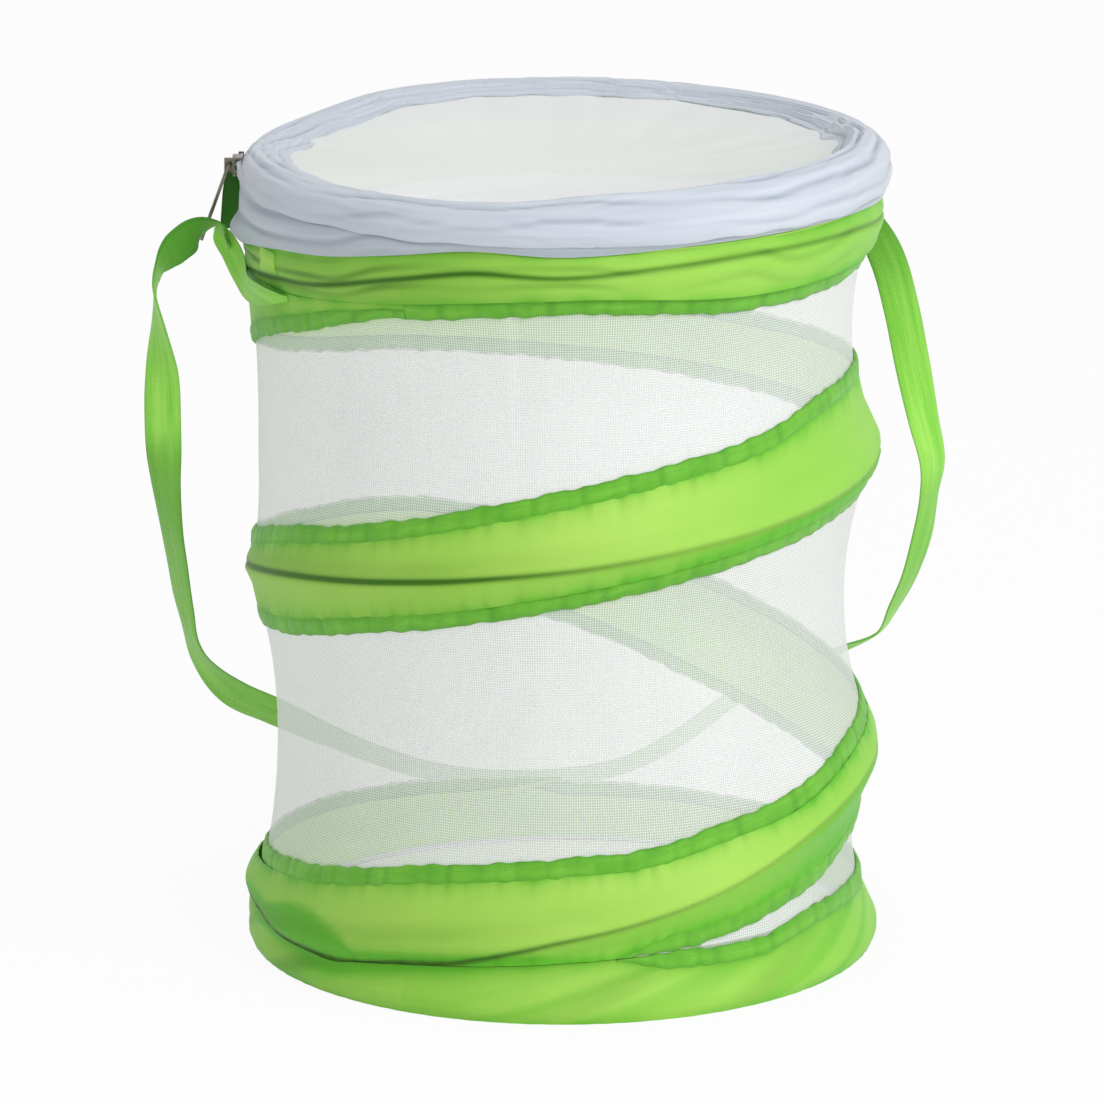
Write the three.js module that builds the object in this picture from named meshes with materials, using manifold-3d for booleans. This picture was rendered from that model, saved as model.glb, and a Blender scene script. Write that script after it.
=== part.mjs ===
// Collapsible insect cage: two spring-steel rings and a wire helix in green cloth casings,
// a spiral wall of fine net, a floor cloth, and a net lid that a zip closes.
//
// Millimetres, +Z up. The origin is the centre of the floor's underside. +X and -X are the
// two places where the carrying strap is sewn on, and the lid hinges toward +Y.
//
// Places round the cage are given by the turn: degrees clockwise, seen from above, from the
// point where the helix leaves the top ring. It keeps counting down the helix's turns.
// The net's own holes are finer than a millimetre and a half, so the net is a plain sheet.

import * as THREE from 'three';
import Module from 'manifold-3d';

const wasm = await Module();
wasm.setup();

// Cage
const ring_radius = 150;
const cage_height = 390;
const wire_diameter = 2;
const cloth_thickness = 0.8;
const net_thickness = 0.6;
const seam_gap = 0.3;
const waist_share = 0.1;
const turn_start_angle = -145;

// Rings
const bottom_wire_height = 6;
const top_wire_drop = 30;
const top_wire_height = cage_height - top_wire_drop;
const ring_span = top_wire_height - bottom_wire_height;

// Ferrules that crimp the ends of the ring wires and of the helix together
const ferrule_length = 12;
const ferrule_wall = 0.55;
const ferrule_clearance = 0.14;
const ferrule_bore = wire_diameter + 2 * ferrule_clearance;
const wire_pitch_in_ferrule = 3.4;
const top_ferrule_turn = -15;
const bottom_ferrule_turn = 825;
const wire_butt_angle = 0.2;

// Casings
const casing_width = 50;
const binding_width = 8;
const binding_half_thickness = 1.2;
const casing_edge_room = 0.15;
const casing_wire_room = wire_diameter / 2 + seam_gap;
const casing_crown = 4;
const casing_fall_share = 0.6;
const row_rise = 5;
const crown_row_near = 4;
const crown_row_far = 6;
const least_height = 0.5;
const binding_taper_turn = 10;
const narrow_binding_share = 0.6;
const zip_tape_width = 18;
const top_band_width = 20.7;
const top_band_top = cage_height - zip_tape_width;
const top_band_bottom = top_band_top - top_band_width;
const top_band_rows = [top_wire_height - crown_row_far, top_wire_height, top_wire_height + crown_row_near];
const bottom_casing_top = 33;
const bottom_band_rows = [
  bottom_wire_height - crown_row_near, bottom_wire_height, bottom_wire_height + crown_row_far,
];
const bottom_tuck = 1.5;
const top_flare = 1.2;

// The helix, by the turn: where its wire runs, as shares of the height between its two ends,
// where its casing's lower edge runs, as shares of the height between the rings, and its
// casing's width as shares of casing_width.
const helix_start_turn = 0;
const helix_end_turn = 870;
const helix_wire_start_turn = -17;
const helix_wire_end_turn = 827;
const helix_wire_shares = [
  [-20, 1], [-10, 1], [0, 0.9971], [10, 0.9937], [20, 0.9891], [30, 0.9782], [40, 0.9609],
  [50, 0.9435], [60, 0.918], [90, 0.8375], [120, 0.7875], [150, 0.7559], [180, 0.7243],
  [210, 0.6958], [240, 0.6754], [270, 0.6611], [300, 0.6387], [330, 0.6091], [360, 0.5744],
  [390, 0.5428], [420, 0.5031], [450, 0.4653], [480, 0.4307], [510, 0.3817], [540, 0.3246],
  [570, 0.2787], [600, 0.2522], [620, 0.2288], [640, 0.1921], [660, 0.1482], [690, 0.0993],
  [720, 0.065], [740, 0.045], [760, 0.0262], [780, 0.0132], [800, 0.0032], [810, 0.0006],
  [820, 0], [830, 0],
];
const helix_lower_shares = [
  [0, 0.9503], [10, 0.9266], [20, 0.904], [40, 0.864], [60, 0.814], [90, 0.746],
  [120, 0.712], [150, 0.686], [180, 0.669], [210, 0.655], [240, 0.636], [270, 0.619],
  [300, 0.593], [330, 0.554], [360, 0.508], [390, 0.463], [420, 0.424], [450, 0.393],
  [480, 0.356], [510, 0.305], [540, 0.229], [570, 0.178], [600, 0.163], [620, 0.152],
  [640, 0.119], [660, 0.088], [670, 0.078], [690, 0.065], [720, 0.0424], [750, 0.034],
  [780, 0.034], [810, 0.034], [840, 0.045], [860, 0.0594], [870, 0.078],
];
const helix_width_shares = [
  [0, 1], [60, 0.93], [90, 0.96], [120, 0.94], [150, 0.88], [180, 0.8], [210, 0.92],
  [240, 1.12], [270, 1.2], [300, 1.14], [330, 1.08], [360, 1.02], [390, 0.96],
  [420, 0.9], [450, 0.94], [480, 1.06], [510, 1.04], [540, 1.16], [570, 1.18],
  [600, 1.08], [640, 1.04], [660, 1.08], [690, 0.98], [720, 0.98], [750, 0.76],
  [780, 0.56], [810, 0.5], [840, 0.34], [860, 0.18], [870, 0.036],
];

// Floor
const floor_inset = 3;
const floor_radius = ring_radius - floor_inset;
const floor_thickness = 1;
const floor_hem_width = 3;
const floor_hem_height = 1.6;

// Zip: two tapes round the rim, each with its row of teeth
const tape_standoff = 2.3;
const tape_outer_radius = ring_radius + tape_standoff;
const zip_slot_drop = 10;
const zip_slot_height = cage_height - zip_slot_drop;
const zip_slot = 1.2;
const teeth_height = 2.5;
const teeth_depth = 2.5;
const tape_lean_drop = 4.5;
const tape_lean_start = cage_height - tape_lean_drop;
const tape_lean = 1.5;
const lid_chord_turn = 55;
const lid_chord_end_turn = -165;
const zip_left_end_turn = 65;
const zip_right_end_turn = -175;
const zip_part_gap_turn = 0.25;
const stop_length = 1.6;
const rear_slot_open_turn = 75;

// Lid
const lid_sag = 12;
const lid_hem_width = 17;
const lid_thickness = 0.8;

// Slider and its pull
const slider_turn = 59.5;
const slider_length = 9;
const slider_height = 9;
const slider_plate = 1.2;
const slider_wedge = 0.6;
const slider_lug_width = 2;
const slider_lug_height = 7;
const slider_lug_depth = 4;
const slider_lug_bore = 1.9;
const slider_clearance = 0.4;
const pull_length = 38;
const pull_width = 8;
const pull_thickness = 1.4;
const pull_pin_diameter = 1.2;
const pull_ear_width = 1.6;
const pull_hole_width = 4;
const pull_hole_length = 13;
const pull_end_wall = 3;
const pull_lean_angle = 20;

// Folded cloth tab that ends the zip
const end_tab_width = 12;
const end_tab_thickness = 2.4;
const end_tab_turn = 68;
const end_tab_drop = 34;
const end_tab_flare = 7;

// Carrying strap and the two patches that it is sewn to
const strap_width = 18;
const strap_thickness = 1.4;
const strap_patch_width = 22;
const strap_patch_height = 20;
const strap_patch_thickness = 1.5;
const strap_patch_rise = 6;
const strap_patch_top = top_wire_height + strap_patch_rise;
const strap_seat_share = 0.25;
const strap_seat_gap = 0.35;
const strap_sections = 72;
const strap_anchor_turns = { left: 35, right: 215 };

// The strap's middle line as shares of the ring's radius (x, y) and the cage's height (z),
// with the way its width points, from its left patch round behind the cage to the right one.
// Its ends, which lie on the patches, are worked out from them.
const strap_route_shares = [
  [-1.12, 0.055, 0.945, 0.6, 0.8, 0], [-1.213, 0.12, 0.924, 1, 0.5, 0],
  [-1.287, 0.2, 0.877, 1, 0.2, 0], [-1.3, 0.275, 0.812, 1, 0, 0],
  [-1.275, 0.3, 0.757, 1, 0, 0], [-1.255, 0.335, 0.703, 1, 0, 0],
  [-1.236, 0.378, 0.646, 1, 0, 0], [-1.207, 0.423, 0.59, 1, 0, 0.05],
  [-1.171, 0.48, 0.533, 1, 0, 0.1], [-1.118, 0.545, 0.474, 1, 0, 0.2],
  [-1.065, 0.607, 0.414, 1, 0, 0.4], [-0.993, 0.684, 0.353, 0.8, 0, 0.7],
  [-0.86, 0.765, 0.29, 0.5, 0, 1], [-0.625, 0.9, 0.22, 0.1, 0, 1],
  [-0.412, 1.0, 0.187, 0, 0, 1], [-0.2, 1.08, 0.15, 0, 0, 1],
  [0.0, 1.1, 0.118, 0, 0, 1], [0.22, 1.1, 0.098, 0, 0, 1],
  [0.45, 1.02, 0.094, 0, 0, 1], [0.64, 0.9, 0.106, 0, 0, 1],
  [0.79, 0.78, 0.14, 0.1, 0, 1], [0.915, 0.62, 0.2, 0.3, 0, 1],
  [1.02, 0.38, 0.262, 0.6, 0, 0.8], [1.1, 0.18, 0.314, 0.8, 0, 0.5],
  [1.186, 0.065, 0.345, 1, 0, 0.3], [1.233, 0.013, 0.4, 1, 0, 0.1],
  [1.26, -0.02, 0.46, 1, 0, 0], [1.29, -0.045, 0.535, 1, 0, 0],
  [1.26, -0.06, 0.61, 1, 0, 0], [1.2, -0.06, 0.69, 1, 0, 0],
  [1.15, -0.055, 0.77, 1, 0.2, 0], [1.085, -0.035, 0.84, 0.6, 0.8, 0],
];

const grid_turn = 10;
const fine_turn = 5;
const full_turn = 360;
const end_gap_turn = 0.15;

function cloth(color) {
  return new THREE.MeshStandardMaterial({ color, roughness: 0.6, metalness: 0 });
}

const materials = {
  green: cloth(0xa5e05a),
  binding: cloth(0x5cb82e),
  lining: cloth(0xb4e678),
  net: cloth(0xe6e8ea),
  white: cloth(0xdfe3f2),
  strap: cloth(0x78cc3a),
  dark_green: cloth(0x2f6b1f),
  teeth: new THREE.MeshStandardMaterial({ color: 0xe8e9f0, roughness: 0.4, metalness: 0 }),
  steel: new THREE.MeshStandardMaterial({ color: 0xb9bcc0, roughness: 0.35, metalness: 1 }),
  zip_metal: new THREE.MeshStandardMaterial({ color: 0x9c9a94, roughness: 0.3, metalness: 1 }),
};

const cage = new THREE.Group();

function place(name, geometry, material, parent = cage) {
  const mesh = new THREE.Mesh(geometry, material);
  mesh.name = name;
  parent.add(mesh);
  return mesh;
}

// A value that changes with the turn, smoothly through a table of [turn, share]
function smooth(table, size, start = 0) {
  const turns = Float64Array.from(table, (row) => row[0]);
  const shares = Float64Array.from(table, (row) => row[1]);
  const curve = new THREE.CubicInterpolant(turns, shares, 1, new Float64Array(1));
  return (turn) => {
    const inside = THREE.MathUtils.clamp(turn, turns[0], turns[turns.length - 1]);
    return start + size * curve.evaluate(inside)[0];
  };
}

function wrap(turn, low) {
  return low + THREE.MathUtils.euclideanModulo(turn - low, full_turn);
}

function polar(turn, radius, height) {
  const angle = THREE.MathUtils.degToRad(turn_start_angle - turn);
  return new THREE.Vector3(radius * Math.cos(angle), radius * Math.sin(angle), height);
}

// The helix's wire ends one pitch from a ring's, side by side with it in their ferrule
const helix_foot_height = bottom_wire_height + wire_pitch_in_ferrule;
const helix_span = ring_span - 2 * wire_pitch_in_ferrule;
const helixWire = smooth(helix_wire_shares, helix_span, helix_foot_height);
const helixLower = smooth(helix_lower_shares, ring_span, bottom_wire_height);
const helixWidth = smooth(helix_width_shares, casing_width);
const helix_wire_first = helix_wire_shares[0][0];
const helix_wire_last = helix_wire_shares[helix_wire_shares.length - 1][0];

// The heights at which wires pass a place, from the bottom ring to the top ring
function wiresAt(turn) {
  const heights = [bottom_wire_height];
  for (let t = wrap(turn, 0) + 2 * full_turn; t >= helix_wire_first; t -= full_turn) {
    if (t <= helix_wire_last) heights.push(helixWire(t));
  }
  heights.push(top_wire_height);
  return heights;
}

// The wall's own radius: the ring's at each wire, and drawn in between two wires
function skinRadius(turn, height) {
  const wires = wiresAt(turn);
  if (height <= bottom_wire_height) {
    const share = (bottom_wire_height - height) / bottom_wire_height;
    return ring_radius - bottom_tuck * share;
  }
  if (height >= top_wire_height) {
    const share = (height - top_wire_height) / (top_band_top - top_wire_height);
    return ring_radius + top_flare * Math.min(share, 1);
  }
  const above = wires.findIndex((wire) => wire > height);
  const low = wires[above - 1];
  const span = wires[above] - low;
  const share = (height - low) / span;
  return ring_radius - waist_share * span * 4 * share * (1 - share);
}

const ferrules = [
  { turn: top_ferrule_turn, height: top_wire_height - wire_pitch_in_ferrule / 2 },
  { turn: bottom_ferrule_turn, height: bottom_wire_height + wire_pitch_in_ferrule / 2 },
];
const ferrule_half_thickness = ferrule_bore / 2 + ferrule_wall;
const ferrule_half_height = ferrule_half_thickness + wire_pitch_in_ferrule / 2;

// What a casing's two layers have to clear at a place: wires, and near a ferrule the ferrule
function heldAt(turn) {
  const held = wiresAt(turn).map((height) => ({ height, half: casing_wire_room, reach: casing_crown }));
  for (const ferrule of ferrules) {
    const away = Math.abs(wrap(turn - ferrule.turn, -full_turn / 2));
    if (away > grid_turn) continue;
    const half = ferrule_half_thickness + seam_gap;
    held.push({ height: ferrule.height, half, reach: ferrule_half_height + seam_gap });
  }
  return held;
}

// The casing's outer band stands off its wire and falls to the wall's own radius beside it
function bandInner(turn, height) {
  const over = heldAt(turn).map((held) => {
    const beyond = Math.max(0, Math.abs(height - held.height) - held.reach);
    return ring_radius + held.half - casing_fall_share * beyond;
  });
  return Math.max(skinRadius(turn, height) + casing_edge_room, ...over);
}

function liningOuter(turn, height) {
  const under = heldAt(turn).map((held) => {
    const beyond = Math.max(0, Math.abs(height - held.height) - held.reach);
    return ring_radius - held.half + casing_fall_share * beyond;
  });
  return Math.min(skinRadius(turn, height) - casing_edge_room, ...under);
}

// A closed solid from sections. A section is two rows of points, a and b, side by side. Both
// faces are split along the same diagonals, so that thin cloth keeps its thickness in a twist.
function loft(sections, closed = false) {
  const count = sections[0].a.length;
  const points = sections.flatMap((section) => [...section.a, ...section.b]);
  const faces = [];
  const at = (section, side, row) => section * 2 * count + side * count + row;
  const quad = (p, q, r, s) => faces.push(p, q, r, p, r, s);
  const last = closed ? sections.length : sections.length - 1;
  for (let i = 0; i < last; i += 1) {
    const next = (i + 1) % sections.length;
    for (let row = 0; row < count - 1; row += 1) {
      quad(at(i, 0, row), at(next, 0, row), at(next, 0, row + 1), at(i, 0, row + 1));
      quad(at(i, 1, row), at(i, 1, row + 1), at(next, 1, row + 1), at(next, 1, row));
    }
    quad(at(i, 1, 0), at(next, 1, 0), at(next, 0, 0), at(i, 0, 0));
    quad(at(i, 0, count - 1), at(next, 0, count - 1), at(next, 1, count - 1), at(i, 1, count - 1));
  }
  if (!closed) {
    const end = sections.length - 1;
    for (let row = 0; row < count - 1; row += 1) {
      quad(at(0, 0, row), at(0, 0, row + 1), at(0, 1, row + 1), at(0, 1, row));
      quad(at(end, 0, row + 1), at(end, 0, row), at(end, 1, row), at(end, 1, row + 1));
    }
  }
  return solid(points, faces);
}

// A mesh with its faces turned outward
function solid(points, faces) {
  let volume = 0;
  for (let i = 0; i < faces.length; i += 3) {
    const [p, q, r] = [points[faces[i]], points[faces[i + 1]], points[faces[i + 2]]];
    volume += p.dot(new THREE.Vector3().crossVectors(q, r));
  }
  const outward = volume > 0 ? faces : faces.toReversed();
  const geometry = new THREE.BufferGeometry();
  const places = points.flatMap((point) => [point.x, point.y, point.z]);
  geometry.setAttribute('position', new THREE.Float32BufferAttribute(places, 3));
  geometry.setIndex(outward);
  return geometry;
}

// Sections between two turns, on the common grid. An end between two grid lines lies on the
// chord between them, so that pieces with the same grid stay nested.
function sections(from, to, section, step = grid_turn, closed = false) {
  const mix = (turn) => {
    const low = Math.floor(turn / step) * step;
    const share = (turn - low) / step;
    if (share === 0) return section(turn);
    const [one, two] = [section(low), section(low + step)];
    const between = (side) => one[side].map((p, i) => p.clone().lerp(two[side][i], share));
    return { a: between('a'), b: between('b') };
  };
  const turns = [from];
  for (let t = Math.floor(from / step) * step + step; t < to; t += step) turns.push(t);
  if (!closed) turns.push(to);
  return turns.map(mix);
}

// A strip of cloth round the cage: heights(turn) gives its rows, and radii(turn, height) the
// radius of its outer and inner face
function strip({ from, to, heights, radii, step = grid_turn, closed = false }) {
  const section = (turn) => {
    const rows = heights(turn);
    const face = (side) => rows.map((z) => polar(turn, radii(turn, z)[side], z));
    return { a: face(0), b: face(1) };
  };
  return loft(sections(from, to, section, step, closed), closed);
}

// Radii of a casing's outer band, of its lining, and of a solid strip on the wall's radius
const bandRadii = (turn, z) => [bandInner(turn, z) + cloth_thickness, bandInner(turn, z)];
const liningRadii = (turn, z) => [liningOuter(turn, z), liningOuter(turn, z) - cloth_thickness];
const midRadii = (half) => (turn, z) => [skinRadius(turn, z) + half, skinRadius(turn, z) - half];

// Binding heights, which taper to nearly nothing where a casing runs into a ring's casing
function taper(turn, start, end) {
  const share = THREE.MathUtils.clamp((turn - start) / (end - start), 0, 1);
  return Math.max(least_height, binding_width * share);
}

const top_binding_start_turn = 50;
const top_binding_end_turn = full_turn + helix_start_turn;
const lower_binding_end_turn = 680;
const bottom_binding_start_turn = 860;
const bottom_binding_end_turn = full_turn + lower_binding_end_turn;

const topBindingHeight = (turn) => taper(
  turn, top_binding_start_turn, top_binding_start_turn + binding_taper_turn,
);
const topBindingBottom = (turn) => top_band_bottom - seam_gap - topBindingHeight(turn);

function helixUpper(turn) {
  const free = helixLower(turn) + helixWidth(turn);
  const ceiling = turn < top_binding_start_turn ? top_band_bottom : topBindingBottom(turn);
  return Math.min(free, ceiling - seam_gap);
}

const lowerBindingHeight = (turn) => Math.min(
  taper(turn, lower_binding_end_turn, lower_binding_end_turn - binding_taper_turn),
  narrow_binding_share * (helixUpper(turn) - helixLower(turn)),
);
const upperBindingHeight = (turn) => Math.min(
  taper(turn, top_binding_start_turn, top_binding_start_turn + binding_taper_turn),
  narrow_binding_share * (helixUpper(turn) - helixLower(turn)),
);

function helixBandBottom(turn) {
  if (turn > lower_binding_end_turn) return helixLower(turn);
  return helixLower(turn) + lowerBindingHeight(turn) + seam_gap;
}

function helixBandTop(turn) {
  if (turn < top_binding_start_turn) return helixUpper(turn);
  return helixUpper(turn) - upperBindingHeight(turn) - seam_gap;
}

function bottomBindingTop(turn) {
  const t = wrap(turn, lower_binding_end_turn);
  const under = helixLower(t <= bottom_binding_start_turn ? t : t - full_turn) - seam_gap;
  return Math.min(bottom_casing_top, under);
}

function bottomBindingHeight(turn) {
  const t = wrap(turn, bottom_binding_start_turn);
  return Math.min(
    taper(t, bottom_binding_start_turn, bottom_binding_start_turn + binding_taper_turn),
    taper(t, bottom_binding_end_turn, bottom_binding_end_turn - binding_taper_turn),
  );
}

function bottomBandTop(turn) {
  const t = wrap(turn, lower_binding_end_turn);
  const bound = t >= bottom_binding_start_turn || t === lower_binding_end_turn;
  return bottomBindingTop(t) - (bound ? bottomBindingHeight(t) + seam_gap : 0);
}

function spread(low, high, rows = 1) {
  return Array.from({ length: rows + 1 }, (_, i) => THREE.MathUtils.lerp(low, high, i / rows));
}

// The helix casing's rows: its edges, its wire and a row on each side of the wire
function helixRows(turn) {
  const [low, high] = [helixBandBottom(turn), helixBandTop(turn)];
  const thin = (high - low) / 8;
  const wire = THREE.MathUtils.clamp(helixWire(turn), low + 2 * thin, high - 2 * thin);
  return [low, Math.max(low + thin, wire - row_rise), wire, Math.min(high - thin, wire + row_rise), high];
}

// A wire: a six-sided rod that keeps to the ring's radius
function wire(from, to, height) {
  const radius = wire_diameter / 2;
  const corner = (turn, degrees) => {
    const angle = THREE.MathUtils.degToRad(degrees);
    const out = ring_radius + radius * Math.cos(angle);
    return polar(turn, out, height(turn) + radius * Math.sin(angle));
  };
  const section = (turn) => ({
    a: [90, 30, -30].map((degrees) => corner(turn, degrees)),
    b: [150, 210, 270].map((degrees) => corner(turn, degrees)),
  });
  return loft(sections(from, to, section));
}

const ring_butt_start = top_ferrule_turn + wire_butt_angle;
place(
  'top_ring_wire',
  wire(ring_butt_start, ring_butt_start + full_turn - 2 * wire_butt_angle, () => top_wire_height),
  materials.steel,
);
const bottom_butt_start = bottom_ferrule_turn + wire_butt_angle;
place(
  'bottom_ring_wire',
  wire(bottom_butt_start, bottom_butt_start + full_turn - 2 * wire_butt_angle, () => bottom_wire_height),
  materials.steel,
);
place('helix_wire', wire(helix_wire_start_turn, helix_wire_end_turn, helixWire), materials.steel);

// A ferrule: a flat sleeve with a bore for each of the two wires that it grips
function ferruleGeometry() {
  const half = ferrule_half_height - ferrule_half_thickness;
  const outline = new THREE.Shape();
  outline.absarc(0, half, ferrule_half_thickness, 0, Math.PI);
  outline.absarc(0, -half, ferrule_half_thickness, Math.PI, 2 * Math.PI);
  for (const side of [-1, 1]) {
    const bore = new THREE.Path();
    bore.absarc(0, side * half, ferrule_bore / 2, 0, 2 * Math.PI, true);
    outline.holes.push(bore);
  }
  const geometry = new THREE.ExtrudeGeometry(outline, {
    depth: ferrule_length, bevelEnabled: false, curveSegments: 6,
  });
  return geometry.translate(0, 0, -ferrule_length / 2);
}

for (const [name, ferrule] of [['top_ferrule', ferrules[0]], ['bottom_ferrule', ferrules[1]]]) {
  const [one, two] = [-1, 1].map(
    (side) => polar(ferrule.turn + side * grid_turn / 2, ring_radius, ferrule.height),
  );
  const along = two.clone().sub(one).normalize();
  const up = new THREE.Vector3(0, 0, 1);
  const frame = new THREE.Matrix4().makeBasis(new THREE.Vector3().crossVectors(up, along), up, along);
  const mesh = place(name, ferruleGeometry(), materials.steel);
  mesh.applyMatrix4(frame.setPosition(one.lerp(two, 0.5)));
}

// Casings: an outer band and a lining round each ring and round the helix
function casing(name, from, to, heights, closed) {
  place(`${name}_band`, strip({ from, to, heights, radii: bandRadii, closed }), materials.green);
  place(`${name}_lining`, strip({ from, to, heights, radii: liningRadii, closed }), materials.lining);
}

const topRows = () => [top_band_bottom, ...top_band_rows, top_band_top];
const lining_bottom = floor_thickness + seam_gap;
const bottomRows = (turn) => [0, ...bottom_band_rows, bottomBandTop(turn)];
const bottomLiningRows = (turn) => [lining_bottom, ...bottomRows(turn).slice(1)];

casing('top', 0, full_turn, topRows, true);
casing('helix', helix_start_turn, helix_end_turn - end_gap_turn, helixRows, false);
place(
  'bottom_band',
  strip({ from: 0, to: full_turn, heights: bottomRows, radii: bandRadii, closed: true }),
  materials.green,
);
place(
  'bottom_lining',
  strip({ from: 0, to: full_turn, heights: bottomLiningRows, radii: liningRadii, closed: true }),
  materials.lining,
);

// Bindings: the narrow folded tapes along the casings' free edges
function binding(name, from, to, low, high) {
  const heights = (turn) => [low(turn), high(turn)];
  const radii = midRadii(binding_half_thickness);
  place(name, strip({ from, to, heights, radii }), materials.binding);
}

binding(
  'top_binding',
  top_binding_start_turn,
  top_binding_end_turn - end_gap_turn,
  topBindingBottom,
  () => top_band_bottom - seam_gap,
);
binding(
  'helix_upper_binding',
  top_binding_start_turn,
  helix_end_turn - end_gap_turn,
  (turn) => helixUpper(turn) - upperBindingHeight(turn),
  helixUpper,
);
binding(
  'helix_lower_binding',
  helix_start_turn,
  lower_binding_end_turn,
  helixLower,
  (turn) => helixLower(turn) + lowerBindingHeight(turn),
);
binding(
  'bottom_binding',
  bottom_binding_start_turn,
  bottom_binding_end_turn,
  (turn) => bottomBindingTop(turn) - bottomBindingHeight(turn),
  bottomBindingTop,
);

// The wall: one spiral strip of net between the casing above and the casing below
const wall_start_turn = 61;
const wall_end_turn = 1024;
const wall_rows = 4;

function wallTop(turn) {
  const casing_above = turn < full_turn ? topBindingBottom(turn) : helixLower(turn - full_turn);
  return casing_above - seam_gap;
}

function wallBottom(turn) {
  const casing_below = turn <= helix_end_turn ? helixUpper(turn) : bottom_casing_top;
  return Math.min(casing_below + seam_gap, wallTop(turn) - least_height);
}

place(
  'wall_net',
  strip({
    from: wall_start_turn,
    to: wall_end_turn,
    heights: (turn) => spread(wallBottom(turn), wallTop(turn), wall_rows),
    radii: midRadii(net_thickness / 2),
  }),
  materials.net,
);

// A dished round sheet: its top's height is top(radius), and it is one thickness deep
function dish(radius, thickness, top, rings = 5) {
  const points = [];
  const faces = [];
  const spokes = full_turn / grid_turn;
  for (const drop of [0, thickness]) {
    points.push(new THREE.Vector3(0, 0, top(0) - drop));
    for (let ring = 1; ring <= rings; ring += 1) {
      const r = radius * ring / rings;
      for (let i = 0; i < spokes; i += 1) points.push(polar(i * grid_turn, r, top(r) - drop));
    }
  }
  const layer = 1 + rings * spokes;
  const at = (side, ring, i) => side * layer + (ring ? 1 + (ring - 1) * spokes + (i % spokes) : 0);
  for (let i = 0; i < spokes; i += 1) {
    faces.push(at(0, 0, 0), at(0, 1, i), at(0, 1, i + 1), at(1, 0, 0), at(1, 1, i + 1), at(1, 1, i));
    for (let ring = 1; ring < rings; ring += 1) {
      faces.push(at(0, ring, i), at(0, ring + 1, i), at(0, ring + 1, i + 1));
      faces.push(at(0, ring, i), at(0, ring + 1, i + 1), at(0, ring, i + 1));
      faces.push(at(1, ring, i), at(1, ring + 1, i + 1), at(1, ring + 1, i));
      faces.push(at(1, ring, i), at(1, ring, i + 1), at(1, ring + 1, i + 1));
    }
    faces.push(at(0, rings, i), at(1, rings, i), at(1, rings, i + 1));
    faces.push(at(0, rings, i), at(1, rings, i + 1), at(0, rings, i + 1));
  }
  return solid(points, faces);
}

// Floor and the hem that sews it to the bottom casing
place('floor_panel', dish(floor_radius, floor_thickness, () => floor_thickness, 1), materials.net);
place(
  'floor_hem',
  strip({
    from: 0,
    to: full_turn,
    heights: () => [lining_bottom, lining_bottom + floor_hem_height],
    radii: (turn, z) => {
      const outer = liningRadii(turn, z)[1] - seam_gap;
      return [outer, outer - floor_hem_width];
    },
    closed: true,
  }),
  materials.white,
);

// Zip tapes. Above the slot a tape leans inward to the lid.
const tape_inner_radius = tape_outer_radius - cloth_thickness;
const lower_tape_top = zip_slot_height - zip_slot / 2;
const upper_tape_bottom = zip_slot_height + zip_slot / 2;
const tapeRadii = (turn, z) => {
  const lean = tape_lean * Math.max(0, (z - tape_lean_start) / (cage_height - tape_lean_start));
  return [tape_outer_radius - lean, tape_inner_radius - lean];
};

place(
  'zip_tape_lower',
  strip({
    from: 0,
    to: full_turn,
    heights: () => [top_band_top + seam_gap, lower_tape_top],
    radii: tapeRadii,
    step: fine_turn,
    closed: true,
  }),
  materials.white,
);
place(
  'zip_tape_upper',
  strip({
    from: lid_chord_end_turn + zip_part_gap_turn,
    to: lid_chord_turn - zip_part_gap_turn,
    heights: () => [upper_tape_bottom, tape_lean_start, cage_height],
    radii: tapeRadii,
    step: fine_turn,
  }),
  materials.white,
);

// The tape behind the lid's fold closes the slot, except where the zip's ends run on
function rearTapeBottom(turn) {
  const open = turn < rear_slot_open_turn || turn > rearMirror(rear_slot_open_turn);
  return open ? upper_tape_bottom : lower_tape_top + seam_gap;
}

function rearMirror(turn) {
  return lid_chord_end_turn + full_turn + lid_chord_turn - turn;
}

place(
  'zip_tape_rear',
  strip({
    from: lid_chord_turn + zip_part_gap_turn,
    to: rearMirror(lid_chord_turn) - zip_part_gap_turn,
    heights: (turn) => [rearTapeBottom(turn), tape_lean_start, cage_height],
    radii: tapeRadii,
    step: fine_turn,
  }),
  materials.white,
);

// Zip teeth: a row on the outside of each tape. At the lid's fold the upper row is cut, so
// that the lid's own stretch swings up and the ends stay.
const teethRadii = () => {
  const inner = tape_outer_radius + seam_gap;
  return [inner + teeth_depth, inner];
};

function teeth(name, from, to, bottom) {
  const heights = () => [bottom, bottom + teeth_height];
  place(name, strip({ from, to, heights, radii: teethRadii, step: fine_turn }), materials.teeth);
}

teeth('zip_teeth_lower', zip_right_end_turn, zip_left_end_turn, lower_tape_top - teeth_height);
teeth(
  'zip_teeth_upper',
  lid_chord_end_turn + zip_part_gap_turn,
  lid_chord_turn - zip_part_gap_turn,
  upper_tape_bottom,
);
teeth('zip_teeth_rear_left', lid_chord_turn + zip_part_gap_turn, zip_left_end_turn, upper_tape_bottom);
teeth('zip_teeth_rear_right', zip_right_end_turn, lid_chord_end_turn - zip_part_gap_turn, upper_tape_bottom);

function angleOf(length, radius) {
  return THREE.MathUtils.radToDeg(length / radius);
}

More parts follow.
